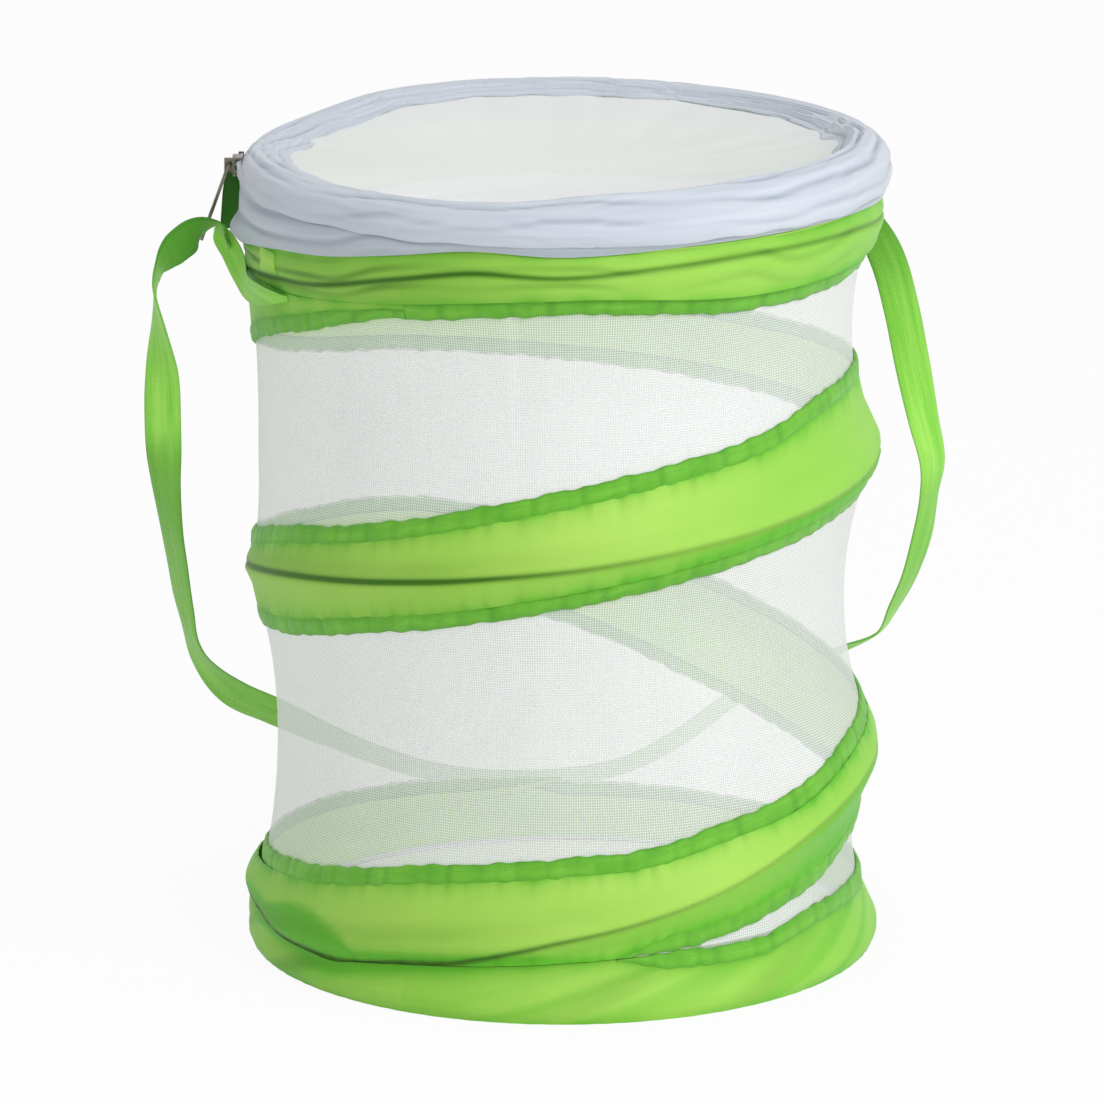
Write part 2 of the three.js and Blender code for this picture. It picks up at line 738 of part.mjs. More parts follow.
// Stops: a block past each end of the teeth, over both rows
const stop_turn = angleOf(stop_length, tape_outer_radius);
const stop_gap_turn = angleOf(seam_gap, tape_outer_radius);
const stopHeights = () => [lower_tape_top - teeth_height, upper_tape_bottom + teeth_height];
for (const [name, from] of [
  ['zip_stop_left', zip_left_end_turn + stop_gap_turn],
  ['zip_stop_right', zip_right_end_turn - stop_gap_turn - stop_turn],
]) {
  place(
    name,
    strip({ from, to: from + stop_turn, heights: stopHeights, radii: teethRadii, step: fine_turn }),
    materials.zip_metal,
  );
}

// Booleans
function toManifold(geometry) {
  const vertProperties = new Float32Array(geometry.attributes.position.array);
  const triVerts = new Uint32Array(geometry.index.array);
  return new wasm.Manifold(new wasm.Mesh({ numProp: 3, vertProperties, triVerts }));
}

function fromManifold(body) {
  const { vertProperties, triVerts } = body.getMesh();
  const geometry = new THREE.BufferGeometry();
  geometry.setAttribute('position', new THREE.Float32BufferAttribute(vertProperties, 3));
  geometry.setIndex(Array.from(triVerts));
  return geometry;
}

// A block from its lowest to its highest corner
function block(low, high) {
  const [x, y, z] = [0, 1, 2].map((axis) => [low[axis], high[axis]]);
  const row = (side) => [0, 1].map((end) => new THREE.Vector3(x[end], y[side], z[0]));
  const top = (side) => row(side).map((point) => point.clone().setZ(z[1]));
  return loft([{ a: row(0), b: row(1) }, { a: top(0), b: top(1) }]);
}

// A bar along y, from y_low to y_high, with sides round its middle line
function bar(x, z, radius, y_low, y_high, sides = 12) {
  const ring = (y) => Array.from({ length: sides }, (_, i) => {
    const angle = 2 * Math.PI * i / sides;
    return new THREE.Vector3(x + radius * Math.cos(angle), y, z + radius * Math.sin(angle));
  });
  const section = (y) => {
    const points = ring(y);
    return { a: points.slice(0, sides / 2), b: points.slice(sides / 2).reverse() };
  };
  return loft([section(y_low), section(y_high)]);
}

// Lid: a sagging net in a hem, cut along the fold at the back, where the rear part stays
const lid_radius = tape_inner_radius - tape_lean - seam_gap;
const lid_net_radius = lid_radius - lid_hem_width;
const lid_fold_y = ring_radius * Math.sin(THREE.MathUtils.degToRad(turn_start_angle - lid_chord_turn));
const lidTop = (radius) => cage_height - lid_sag * (1 - (radius / lid_radius) ** 2);

function hemGeometry() {
  const inner = lid_net_radius + seam_gap;
  const section = (turn) => {
    const radii = spread(inner, lid_radius, 2);
    const face = (drop) => radii.map((r) => polar(turn, r, lidTop(r) - drop));
    return { a: face(0), b: face(lid_thickness) };
  };
  return loft(sections(0, full_turn, section, grid_turn, true), true);
}

function lidParts(name, geometry, material) {
  const reach = 2 * ring_radius;
  const fold = seam_gap / 2;
  const whole = toManifold(geometry);
  const front = block([-reach, -reach, 0], [reach, lid_fold_y - fold, cage_height + ring_radius]);
  const rear = block([-reach, lid_fold_y + fold, 0], [reach, reach, cage_height + ring_radius]);
  place(`lid_${name}`, fromManifold(whole.intersect(toManifold(front))), material);
  place(`lid_rear_${name}`, fromManifold(whole.intersect(toManifold(rear))), material);
}

lidParts('net', dish(lid_net_radius, lid_thickness, lidTop, 4), materials.net);
lidParts('hem', hemGeometry(), materials.white);

// Slider, drawn at turn zero's place along x: x is the radius, y runs along the zip
const slider_low = zip_slot_height - slider_height / 2;
const slider_high = zip_slot_height + slider_height / 2;
const slider_front = tape_outer_radius + seam_gap + teeth_depth + slider_clearance;
const slider_back = tape_inner_radius - slider_clearance;
const slider_face = slider_front + slider_plate;
const pull_pivot_radius = slider_face + slider_lug_depth - slider_lug_bore;
const half_length = slider_length / 2;

function sliderGeometry() {
  const flange_inner = tape_outer_radius + slider_clearance;
  const side = (x_low, x_high, z_low, z_high, half = half_length) => toManifold(
    block([x_low, -half, z_low], [x_high, half, z_high]),
  );
  const wedge_half = slider_wedge / 2;
  const lug_half = slider_lug_height / 2;
  return fromManifold(
    side(slider_front, slider_face, slider_low, slider_high)
      .add(side(slider_back - slider_plate, slider_back, slider_low, slider_high))
      .add(side(flange_inner, slider_face, slider_low, slider_low + slider_plate - seam_gap))
      .add(side(flange_inner, slider_face, slider_high - slider_plate + seam_gap, slider_high))
      .add(side(slider_back - slider_plate, slider_face, zip_slot_height - wedge_half,
        zip_slot_height + wedge_half, half_length / 2))
      .add(side(slider_face - slider_plate, slider_face + slider_lug_depth,
        zip_slot_height - lug_half, zip_slot_height + lug_half, slider_lug_width / 2))
      .subtract(toManifold(bar(pull_pivot_radius, zip_slot_height, slider_lug_bore / 2,
        -slider_length, slider_length))),
  );
}

function alongZip(turn) {
  const group = new THREE.Group();
  group.rotation.z = THREE.MathUtils.degToRad(turn_start_angle - turn);
  cage.add(group);
  return group;
}

const slider_group = alongZip(slider_turn);
place('zip_slider', sliderGeometry(), materials.zip_metal, slider_group);

// Pull: two ears and a pin through the slider's lug, and a plate with a long hole. It is
// drawn hanging straight down from its pin at the origin, and leans outward in its group.
function pullGeometry() {
  const half = pull_thickness / 2;
  const ear_inner = slider_lug_width / 2 + seam_gap;
  const ear_outer = ear_inner + pull_ear_width;
  const plate_top = -slider_lug_height / 2 - 2 * seam_gap;
  const box = (low, high) => toManifold(block(low, high));
  const ears = [-1, 1].map((side) => {
    const [low, high] = [side * ear_inner, side * ear_outer].sort((p, q) => p - q);
    return box([-half, low, plate_top - half], [half, high, half]);
  });
  const hole_half = pull_hole_width / 2;
  const hole_bottom = pull_end_wall - pull_length;
  return fromManifold(
    box([-half, -pull_width / 2, -pull_length], [half, pull_width / 2, plate_top])
      .add(ears[0])
      .add(ears[1])
      .add(toManifold(bar(0, 0, pull_pin_diameter / 2, -ear_outer, ear_outer)))
      .subtract(box([-pull_thickness, -hole_half, hole_bottom],
        [pull_thickness, hole_half, hole_bottom + pull_hole_length])),
  );
}

const pull_group = new THREE.Group();
pull_group.position.set(pull_pivot_radius, 0, zip_slot_height);
pull_group.rotation.y = -THREE.MathUtils.degToRad(pull_lean_angle);
slider_group.add(pull_group);
place('zip_pull', pullGeometry(), materials.zip_metal, pull_group);

// Tab of folded cloth over the zip's end, hanging down and a little outward
function endTabGeometry() {
  const outer = tape_outer_radius + seam_gap + teeth_depth;
  const top = cage_height - end_tab_thickness;
  const bend = top_band_top;
  const bottom = top - end_tab_drop;
  const section = (y) => ({
    a: [[outer, top], [outer, bend], [outer + end_tab_flare, bottom]]
      .map(([x, z]) => new THREE.Vector3(x, y, z)),
    b: [[outer - end_tab_thickness, top], [outer - end_tab_thickness, bend],
      [outer + end_tab_flare - end_tab_thickness, bottom]].map(([x, z]) => new THREE.Vector3(x, y, z)),
  });
  return loft([section(-end_tab_width / 2), section(end_tab_width / 2)]);
}

place('zip_end_tab', endTabGeometry(), materials.dark_green, alongZip(end_tab_turn + stop_turn));

// Patches that hold the strap's ends, on the outside of the top casing
const patch_inner_radius = ring_radius + casing_wire_room + cloth_thickness + seam_gap;
const patch_outer_radius = patch_inner_radius + strap_patch_thickness;
for (const [side, turn] of Object.entries(strap_anchor_turns)) {
  const half = angleOf(strap_patch_width / 2, ring_radius);
  place(
    `strap_patch_${side}`,
    strip({
      from: turn - half,
      to: turn + half,
      heights: () => [strap_patch_top - strap_patch_height, strap_patch_top],
      radii: () => [patch_outer_radius, patch_inner_radius],
      step: fine_turn,
    }),
    materials.strap,
  );
}

// The two points of an end of the strap, which lie over its patch, one above the other
function strapEnd(side) {
  const radius = patch_outer_radius + strap_seat_gap + strap_thickness / 2;
  const middle = strap_patch_top - strap_patch_height / 2;
  const seat = strap_seat_share * strap_patch_height;
  return [middle - seat, middle + seat].map((height) => new THREE.Vector3(side * radius, 0, height));
}

// A cut through the strap at a point of its middle line
function strapSection(middle, along, way) {
  const wide = way.clone().addScaledVector(along, -way.dot(along)).normalize();
  const thick = new THREE.Vector3().crossVectors(along, wide).normalize();
  const corner = (across, through) => middle.clone()
    .addScaledVector(wide, across * strap_width / 2)
    .addScaledVector(thick, through * strap_thickness / 2);
  return { a: [corner(-1, 1), corner(1, 1)], b: [corner(-1, -1), corner(1, -1)] };
}

// The strap: flat webbing, straight over its patches, and along a smooth line between them
function strapGeometry() {
  const size = [ring_radius, ring_radius, cage_height];
  const free = strap_route_shares.map((row) => new THREE.Vector3(...size.map((s, i) => s * row[i])));
  const [left, right] = [strapEnd(-1), strapEnd(1)];
  const route = new THREE.CatmullRomCurve3([left[1], ...free, right[0]], false, 'centripetal');
  const flat = new THREE.Vector3(0, 1, 0);
  const onPatch = (point) => strapSection(point, new THREE.Vector3(0, 0, 1), flat);
  const twists = strap_route_shares.map((row) => new THREE.Vector3(...row.slice(3)).normalize());
  const ways = [flat, ...twists, flat];
  const steps = Array.from({ length: strap_sections + 1 }, (_, i) => i / strap_sections);
  const between = steps.map((share) => {
    const t = route.getUtoTmapping(share);
    const place_in_route = t * (ways.length - 1);
    const k = Math.min(Math.floor(place_in_route), ways.length - 2);
    const way = ways[k].clone().lerp(ways[k + 1], place_in_route - k);
    return strapSection(route.getPoint(t), route.getTangent(t), way);
  });
  return loft([...left.map(onPatch), ...between.slice(1, -1), ...right.map(onPatch)]);
}

place('strap', strapGeometry(), materials.strap);

export default cage;
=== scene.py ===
"""Looks for a round net insect cage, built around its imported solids.

Blender objects are in metres, +Z up. The shape functions work in millimetres and are turned
into metres where a mesh is made. A place round the cage is given by its turn: degrees
clockwise, seen from above, from the point where the helix leaves the top ring. The turn
keeps counting down the helix.
"""

import bmesh
import bpy
import numpy as np
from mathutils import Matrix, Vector


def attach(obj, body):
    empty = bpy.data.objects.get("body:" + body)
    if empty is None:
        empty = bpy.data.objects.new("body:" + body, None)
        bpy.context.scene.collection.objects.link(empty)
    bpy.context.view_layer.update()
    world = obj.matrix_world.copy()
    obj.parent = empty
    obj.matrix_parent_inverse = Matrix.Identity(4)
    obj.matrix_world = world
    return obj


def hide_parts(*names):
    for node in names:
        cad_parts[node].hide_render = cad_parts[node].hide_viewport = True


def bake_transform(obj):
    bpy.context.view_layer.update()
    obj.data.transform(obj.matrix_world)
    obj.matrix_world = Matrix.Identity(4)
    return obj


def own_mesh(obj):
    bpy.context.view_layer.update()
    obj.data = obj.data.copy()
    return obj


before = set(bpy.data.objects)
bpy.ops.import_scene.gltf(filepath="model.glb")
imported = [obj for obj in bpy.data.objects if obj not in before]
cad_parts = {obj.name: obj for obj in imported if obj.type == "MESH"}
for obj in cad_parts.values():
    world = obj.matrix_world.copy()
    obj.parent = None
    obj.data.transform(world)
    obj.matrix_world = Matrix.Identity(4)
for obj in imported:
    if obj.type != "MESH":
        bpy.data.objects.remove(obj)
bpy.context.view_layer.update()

MM = 0.001

# Cage, in millimetres
RING_RADIUS = 150.0
CAGE_HEIGHT = 390.0
TURN_START_ANGLE = -145.0
FULL_TURN = 360.0
BOTTOM_WIRE = 6.0
TOP_WIRE = 360.0
RING_SPAN = TOP_WIRE - BOTTOM_WIRE
HELIX_FOOT = 9.4
HELIX_SPAN = 347.2
CASING_WIDTH = 50.0
BINDING_WIDTH = 8.0
SEAM_GAP = 0.3
WAIST_SHARE = 0.1
BOTTOM_TUCK = 1.5
TOP_FLARE = 1.2
TOP_BAND_TOP = 372.0
TOP_BAND_BOTTOM = 351.3
BOTTOM_CASING_TOP = 33.0
LEAST_HEIGHT = 0.5
EDGE_LAP = 1.5
CLOTH_HALF = 0.4
SKIN_GAP = 0.95

# How cloth stands off the rings' radius over a wire: its crest, how far from the wire that
# reaches, and how much lower each further millimetre lies
RIDGE_CREST = 2.1
RIDGE_REACH = 2.0
RIDGE_FALL = 0.45

# The wall hangs straighter on its eased side: by the first share at its foot, and by the sum of
# both where it has risen past a height and a run
EASE_SHARE = 0.3
EASE_MORE = 0.38
EASE_FROM = 150.0
EASE_RUN = 90.0

# Turns at which pieces start and end
TOP_BINDING_START = 50.0
LOWER_BINDING_END = 680.0
BOTTOM_BINDING_START = 860.0
HELIX_END = 869.85
WALL_START = 52.0
WALL_END = 1024.0
BINDING_TAPER = 10.0

# The helix by the turn: its wire, its casing's lower edge and its casing's width, as shares
HELIX_WIRE = [
    (-20, 1), (-10, 1), (0, 0.9971), (10, 0.9937), (20, 0.9891), (30, 0.9782), (40, 0.9609),
    (50, 0.9435), (60, 0.918), (90, 0.8375), (120, 0.7875), (150, 0.7559), (180, 0.7243),
    (210, 0.6958), (240, 0.6754), (270, 0.6611), (300, 0.6387), (330, 0.6091), (360, 0.5744),
    (390, 0.5428), (420, 0.5031), (450, 0.4653), (480, 0.4307), (510, 0.3817), (540, 0.3246),
    (570, 0.2787), (600, 0.2522), (620, 0.2288), (640, 0.1921), (660, 0.1482), (690, 0.0993),
    (720, 0.065), (740, 0.045), (760, 0.0262), (780, 0.0132), (800, 0.0032), (810, 0.0006),
    (820, 0), (830, 0),
]
HELIX_LOWER = [
    (0, 0.9503), (10, 0.9266), (20, 0.904), (40, 0.864), (60, 0.814), (90, 0.746),
    (120, 0.712), (150, 0.686), (180, 0.669), (210, 0.655), (240, 0.636), (270, 0.619),
    (300, 0.593), (330, 0.554), (360, 0.508), (390, 0.463), (420, 0.424), (450, 0.393),
    (480, 0.356), (510, 0.305), (540, 0.229), (570, 0.178), (600, 0.163), (620, 0.152),
    (640, 0.119), (660, 0.088), (670, 0.078), (690, 0.065), (720, 0.0424), (750, 0.034),
    (780, 0.034), (810, 0.034), (840, 0.045), (860, 0.0594), (870, 0.078),
]
HELIX_WIDTH = [
    (0, 1), (60, 0.93), (90, 0.96), (120, 0.94), (150, 0.88), (180, 0.8), (210, 0.92),
    (240, 1.12), (270, 1.2), (300, 1.14), (330, 1.08), (360, 1.02), (390, 0.96),
    (420, 0.9), (450, 0.94), (480, 1.06), (510, 1.04), (540, 1.16), (570, 1.18),
    (600, 1.08), (640, 1.04), (660, 1.08), (690, 0.98), (720, 0.98), (750, 0.76),
    (780, 0.56), (810, 0.5), (840, 0.34), (860, 0.18), (870, 0.036),
]

# How far the cloth's edges lie from where the helix's shares put them, in millimetres
HELIX_LOWER_SHIFT = [
    (0, -8), (6, -5.2), (13, -3.8), (31, -3.3), (50, -2), (70, 0), (240, 0), (271, -2), (302, -2.9),
    (325, -2.4), (347, -2), (375, -1), (391, -2), (420, 0), (600, 0), (631, -4.8), (648, -3.3),
    (662, -2.4), (690, 0), (711, 2), (721, 1.8), (731, -0.5), (737, -2.5), (744, -1.5), (752, 0.5),
    (766, 6.5), (785, 4), (805, 0), (870, 0),
]
HELIX_UPPER_SHIFT = [
    (0, 0), (240, 0), (271, -1), (288, -4.3), (302, -3), (325, -0.5), (347, 1), (360, 1.5),
    (373, 2.4), (391, 4.3), (420, 2), (450, 0), (600, 0), (631, -2.4), (662, -2.9), (674, -3.3),
    (690, 0), (733, -1.4), (760, 0), (870, 0),
]
BOTTOM_TOP_SHIFT = [
    (-180, 0), (-120, 2), (-89, 3.8), (-76, 0), (-71, -2.5), (-58, -2), (-40, 0), (180, 0)
]

# By the turn from -180 to 180: how far the top casing's upper edge and its lower edge droop,
# how far the rim dips at the zip's end, how high the hem's fold stands on the lid, how much
# straighter the wall hangs on one side, where the top casing's long crease runs, how much painted
# shade the casings' folds get, how deep the green is, partly as painted shade towards the casings'
# sides and back, and how much of the rim's flap hangs over the zip. The helix casing's tables of
# how deep its green is, with the same painted shade, and of how deep it is below its crease, are
# by the helix's own turn.
RING_DROOP = [
    (-180, 0), (-150, 1), (-118, 4), (-95, 0), (-70, -1.5), (-51, -1), (-30, 1.5), (-14, 0),
    (0, 5), (17, 12), (34, 17), (44, 20), (54, 24), (66, 19), (85, 9), (105, 3), (130, 0), (180, 0),
]
RIM_DIP = [(-180, 0), (40, 0), (60, 4), (75, 6), (98, 4), (116, 0), (180, 0)]
HEM_RIDGE = [
    (-180, 0), (-150, 1), (-125, 4), (-100, 7), (-50, 7), (-35, 5.5), (-25, 3), (-9, 1),
    (3, 0.5), (50, 0.5), (90, 0), (180, 0),
]
BAND_DROOP = [
    (-180, 0), (-150, 1), (-120, 3.5), (-95, 6.5), (-89, 7), (-71, 7.1), (-58, 5.8), (-46, 3.3),
    (-35, 2), (-24, 3.1), (-13, 5.3), (-1, 8.6), (17, 13.5), (34, 17), (50, 14), (75, 6), (100, 3),
    (130, 0), (180, 0),
]
WALL_EASE = [(-180, 0), (-20, 0), (20, 0.6), (60, 1), (95, 0.8), (150, 0), (180, 0)]
TOP_CREASE = [
    (-180, 361), (-98, 363), (-70, 363.5), (-30, 361.5), (0, 360), (24, 357), (60, 359), (180, 361)
]
SHADED_SIDE = [
    (-180, 0), (-60, 0.1), (-40, 0.3), (-20, 0.65), (-5, 1), (60, 1), (120, 0.4), (180, 0)
]
RING_TINT_AND_SHADE = [
    (-180, 0.4), (-110, 0.5), (-85, 0.45), (-65, 0.25), (-30, 0.2), (0, 0.3), (60, 0.4), (180, 0.4)
]
HELIX_TINT_AND_SHADE = [
    (0, 0.3), (60, 0.3), (120, 0.4), (240, 0.45), (285, 0.35), (305, 0.12), (330, 0.04), (360, 0.1),
    (390, 0.25), (420, 0.35), (590, 0.45), (630, 0.35), (650, 0.12), (690, 0.04), (725, 0.12),
    (770, 0.35), (870, 0.4),
]
UNDER_TINT = [
    (0, 0), (235, 0), (260, 0.5), (305, 0.5), (340, 0.15), (370, 0), (590, 0), (615, 0.5), (660, 0.5),
    (700, 0.3), (720, 0), (870, 0),
]
FLAP_DROP = [(-180, 1), (30, 1), (50, 0.35), (58, 0), (72, 0), (88, 1), (180, 1)]


def smooth(table, turn):
    """A curve through a table's rows: cubic between two rows, each slope from its neighbours."""
    knots, values = np.array(table, float).T
    slopes = np.empty_like(values)
    slopes[1:-1] = (values[2:] - values[:-2]) / (knots[2:] - knots[:-2])
    slopes[[0, -1]] = 0
    at = np.clip(turn, knots[0], knots[-1])
    k = np.clip(np.searchsorted(knots, at, side="right") - 1, 0, len(knots) - 2)
    gap = knots[k + 1] - knots[k]
    x = (at - knots[k]) / gap
    rise = x * x * (3 - 2 * x)
    leave = gap * slopes[k] * x * (1 - x) ** 2
    arrive = gap * slopes[k + 1] * x * x * (1 - x)
    return values[k] * (1 - rise) + values[k + 1] * rise + leave - arrive


def wrap(turn, low):
    """The same place's turn between low and low + 360."""
    return low + np.mod(turn - low, FULL_TURN)


def droop(turn):
    """How far the top casing's upper edge and its folds hang down at a turn."""
    return smooth(RING_DROOP, wrap(turn, -180.0))


def rim_height(turn):
    """The cage's height, less the rim's dip."""
    return CAGE_HEIGHT - smooth(RIM_DIP, wrap(turn, -180.0))


def polar(turn, radius, height):
    """Points from the turn, the radius and the height."""
    angle = np.radians(TURN_START_ANGLE - turn)
    return np.stack(
        np.broadcast_arrays(radius * np.cos(angle), radius * np.sin(angle), height), axis=-1
    )


def helix_wire(turn):
    """The wire's height: its foot and its share of the span."""
    return HELIX_FOOT + HELIX_SPAN * smooth(HELIX_WIRE, turn)


def helix_lower(turn):
    """The casing's lower edge: its share between the ring wires, and its shift."""
    return BOTTOM_WIRE + RING_SPAN * smooth(HELIX_LOWER, turn) + smooth(HELIX_LOWER_SHIFT, turn)


def helix_width(turn):
    """The casing's width, as a share of its plain one."""
    return CASING_WIDTH * smooth(HELIX_WIDTH, turn)


def wires_at(turn):
    """The heights of the wires that pass a place, with missing laps left as not a number."""
    lap = wrap(turn, 0.0)[..., None] + FULL_TURN * np.array([-1.0, 0.0, 1.0, 2.0])
    passing = (lap >= HELIX_WIRE[0][0]) & (lap <= HELIX_WIRE[-1][0])
    heights = np.where(passing, helix_wire(lap), np.nan)
    ends = [np.full(heights.shape[:-1] + (1,), z) for z in (BOTTOM_WIRE, TOP_WIRE)]
    return np.concatenate([ends[0], heights, ends[1]], axis=-1)


def skin_radius(turn, height):
    """The wall's radius: the ring's at each wire, drawn in along a parabola between two."""
    turn, height = np.broadcast_arrays(np.asarray(turn, float), np.asarray(height, float))
    wires, level = wires_at(turn), height[..., None]
    below = np.max(np.where(wires <= level, wires, BOTTOM_WIRE), axis=-1)
    above = np.min(np.where(wires > level, wires, TOP_WIRE), axis=-1)
    span = np.maximum(above - below, LEAST_HEIGHT)
    share = np.clip((height - below) / span, 0, 1)
    upper = np.clip((height - EASE_FROM) / EASE_RUN, 0, 1)
    ease = 1 - smooth(WALL_EASE, wrap(turn, -180.0)) * (EASE_SHARE + EASE_MORE * upper)
    drawn = RING_RADIUS - WAIST_SHARE * span * ease * 4 * share * (1 - share)
    tucked = RING_RADIUS - BOTTOM_TUCK * (BOTTOM_WIRE - height) / BOTTOM_WIRE
    flare = np.clip((height - TOP_WIRE) / (TOP_BAND_TOP - TOP_WIRE), 0, 1)
    drawn = np.where(height >= TOP_WIRE, RING_RADIUS + TOP_FLARE * flare, drawn)
    return np.where(height <= BOTTOM_WIRE, tucked, drawn)


def wire_distance(turn, height):
    """The height above the nearest wire, negative below it."""
    turn, height = np.broadcast_arrays(np.asarray(turn, float), np.asarray(height, float))
    away = height[..., None] - wires_at(turn)
    nearest = np.nanargmin(np.abs(np.where(np.isnan(away), 1e6, away)), axis=-1)
    return np.take_along_axis(away, nearest[..., None], axis=-1)[..., 0]


# Casings and bindings
def taper(turn, start, end):
    """A binding's height: least at the start, rising evenly to its width at the end."""
    return np.maximum(LEAST_HEIGHT, BINDING_WIDTH * np.clip((turn - start) / (end - start), 0, 1))


def top_binding_height(turn):
    """The top binding tapers in from its start."""
    return taper(turn, TOP_BINDING_START, TOP_BINDING_START + BINDING_TAPER)


def top_band_bottom(turn):
    """The top casing's lower edge: level, less its droop."""
    return TOP_BAND_BOTTOM - smooth(BAND_DROOP, wrap(turn, -180.0))


def top_binding_bottom(turn):
    """The top binding lies a seam's gap and its own height below the casing."""
    return top_band_bottom(turn) - SEAM_GAP - top_binding_height(turn)


def helix_upper(turn):
    """The casing's upper edge: its lower edge plus its width, but never above the top casing."""
    free = BOTTOM_WIRE + RING_SPAN * smooth(HELIX_LOWER, turn) + helix_width(turn)
    free = free + smooth(HELIX_UPPER_SHIFT, turn)
    ceiling = np.where(turn < TOP_BINDING_START, top_band_bottom(turn), top_binding_bottom(turn))
    ceiling = np.where(turn < FULL_TURN, ceiling, np.inf)
    return np.minimum(free, ceiling - SEAM_GAP)


def binding_part(turn):
    """The most of the helix casing's width that a binding takes."""
    return 0.6 * (helix_upper(turn) - helix_lower(turn))


def lower_binding_height(turn):
    """The helix's lower binding tapers out at its end."""
    tapered = taper(turn, LOWER_BINDING_END, LOWER_BINDING_END - BINDING_TAPER)
    return np.minimum(tapered, binding_part(turn))


def upper_binding_height(turn):
    """The helix's upper binding tapers in as the top one does."""
    return np.minimum(top_binding_height(turn), binding_part(turn))


def helix_band_bottom(turn):
    """The casing's cloth ends above the lower binding, where there is one."""
    bound = helix_lower(turn) + lower_binding_height(turn)
    return np.where(turn > LOWER_BINDING_END, helix_lower(turn), bound)


def helix_band_top(turn):
    """The casing's cloth ends below the upper binding, where there is one."""
    bound = helix_upper(turn) - upper_binding_height(turn)
    return np.where(turn < TOP_BINDING_START, helix_upper(turn), bound)


def bottom_binding_top(turn):
    """The bottom binding's upper edge: level and shifted, but below the helix casing."""
    lap = wrap(turn, LOWER_BINDING_END)
    under = helix_lower(np.where(lap <= BOTTOM_BINDING_START, lap, lap - FULL_TURN)) - SEAM_GAP
    return np.minimum(BOTTOM_CASING_TOP + smooth(BOTTOM_TOP_SHIFT, wrap(turn, -180.0)), under)


def bottom_binding_height(turn):
    """The bottom binding tapers in at its start and out at its end."""
    lap = wrap(turn, BOTTOM_BINDING_START)
    end = FULL_TURN + LOWER_BINDING_END
    start_side = taper(lap, BOTTOM_BINDING_START, BOTTOM_BINDING_START + BINDING_TAPER)
    return np.minimum(start_side, taper(lap, end, end - BINDING_TAPER))


def bottom_band_top(turn):
    """The bottom casing's cloth ends below its binding, where there is one."""
    lap = wrap(turn, LOWER_BINDING_END)
    bound = (lap >= BOTTOM_BINDING_START) | (lap == LOWER_BINDING_END)
    return bottom_binding_top(lap) - np.where(bound, bottom_binding_height(lap), 0)


def wall_top(turn):
    """The wall's upper edge: under the top binding first, then under the lap above it."""
    first = turn < FULL_TURN
    return np.where(first, top_binding_bottom(turn), helix_lower(turn - FULL_TURN)) + EDGE_LAP


def wall_bottom(turn):
    """The wall's lower edge: behind the casing below it, and never above its own top."""
    upper = np.where(turn <= HELIX_END, helix_upper(turn), BOTTOM_CASING_TOP)
    return np.minimum(upper - EDGE_LAP, wall_top(turn) - LEAST_HEIGHT)


def ripple(turn, waves, seed, closed=True):
    """Uneven waves round the cage: a sum of sines, each one's phase swung by a slower sine.

    waves holds pairs of a wavelength in millimetres and a height.
    """
    draw = np.random.default_rng(seed)
    angle = np.radians(turn)
    total = np.zeros(np.shape(turn))
    for wavelength, size in waves:
        count = 2 * np.pi * RING_RADIUS / wavelength
        if closed:
            count = np.round(count)
        slow = draw.integers(3, 8)
        start, sway = draw.uniform(0, 2 * np.pi, 2)
        total = total + size * np.sin(count * angle + start + 1.7 * np.sin(slow * angle + sway))
    return total


def hump(value, centre, width):
    """One at the centre, falling away on both sides as a bell curve."""
    return np.exp(-(((value - centre) / width) ** 2))


def ridge_lift(turn, height):
    """How far cloth stands off the ring's radius because of the wire below it."""
    beyond = np.maximum(0, np.abs(wire_distance(turn, height)) - RIDGE_REACH)
    return RIDGE_CREST - RIDGE_FALL * beyond


# Meshes
def build_mesh(name, points, faces, maps=None, marks=None, sharp=55.0):
    """A mesh object from points in millimetres and four-cornered faces, turned outward.

    maps holds each face corner's place on the cloth, in metres, and marks each point's painted
    shade and deeper green, from 0 to 1, that its material reads: crease and edge.
    """
    p = points[faces]
    halves = np.cross(p[:, 1], p[:, 2]) + np.cross(p[:, 2], p[:, 3])
    if np.einsum("ij,ij->", p[:, 0], halves) < 0:
        faces = faces[:, ::-1]
        maps = None if maps is None else maps[:, ::-1]
    mesh = bpy.data.meshes.new(name)
    mesh.from_pydata((points * MM).tolist(), [], faces.tolist())
    if maps is not None:
        layer = mesh.uv_layers.new(name="cloth_map")
        layer.data.foreach_set("uv", np.ascontiguousarray(maps, np.float32).ravel())
    for mark in ("crease", "edge"):
        shade = np.zeros(len(points)) if marks is None else np.clip(marks[mark], 0, 1)
        attribute = mesh.attributes.new(mark, "FLOAT", "POINT")
        attribute.data.foreach_set("value", shade.astype(np.float32))
    mesh.validate()
    mesh.shade_smooth()
    if sharp:
        mesh.set_sharp_from_angle(angle=np.radians(sharp))
    piece = bpy.data.objects.new(name, mesh)
    bpy.context.scene.collection.objects.link(piece)
    return piece


def ring_of(outer, inner):
    """Each section's closed outline: up its outer row and back down its inner row."""
    return np.concatenate([outer, inner[:, ::-1]], axis=1)


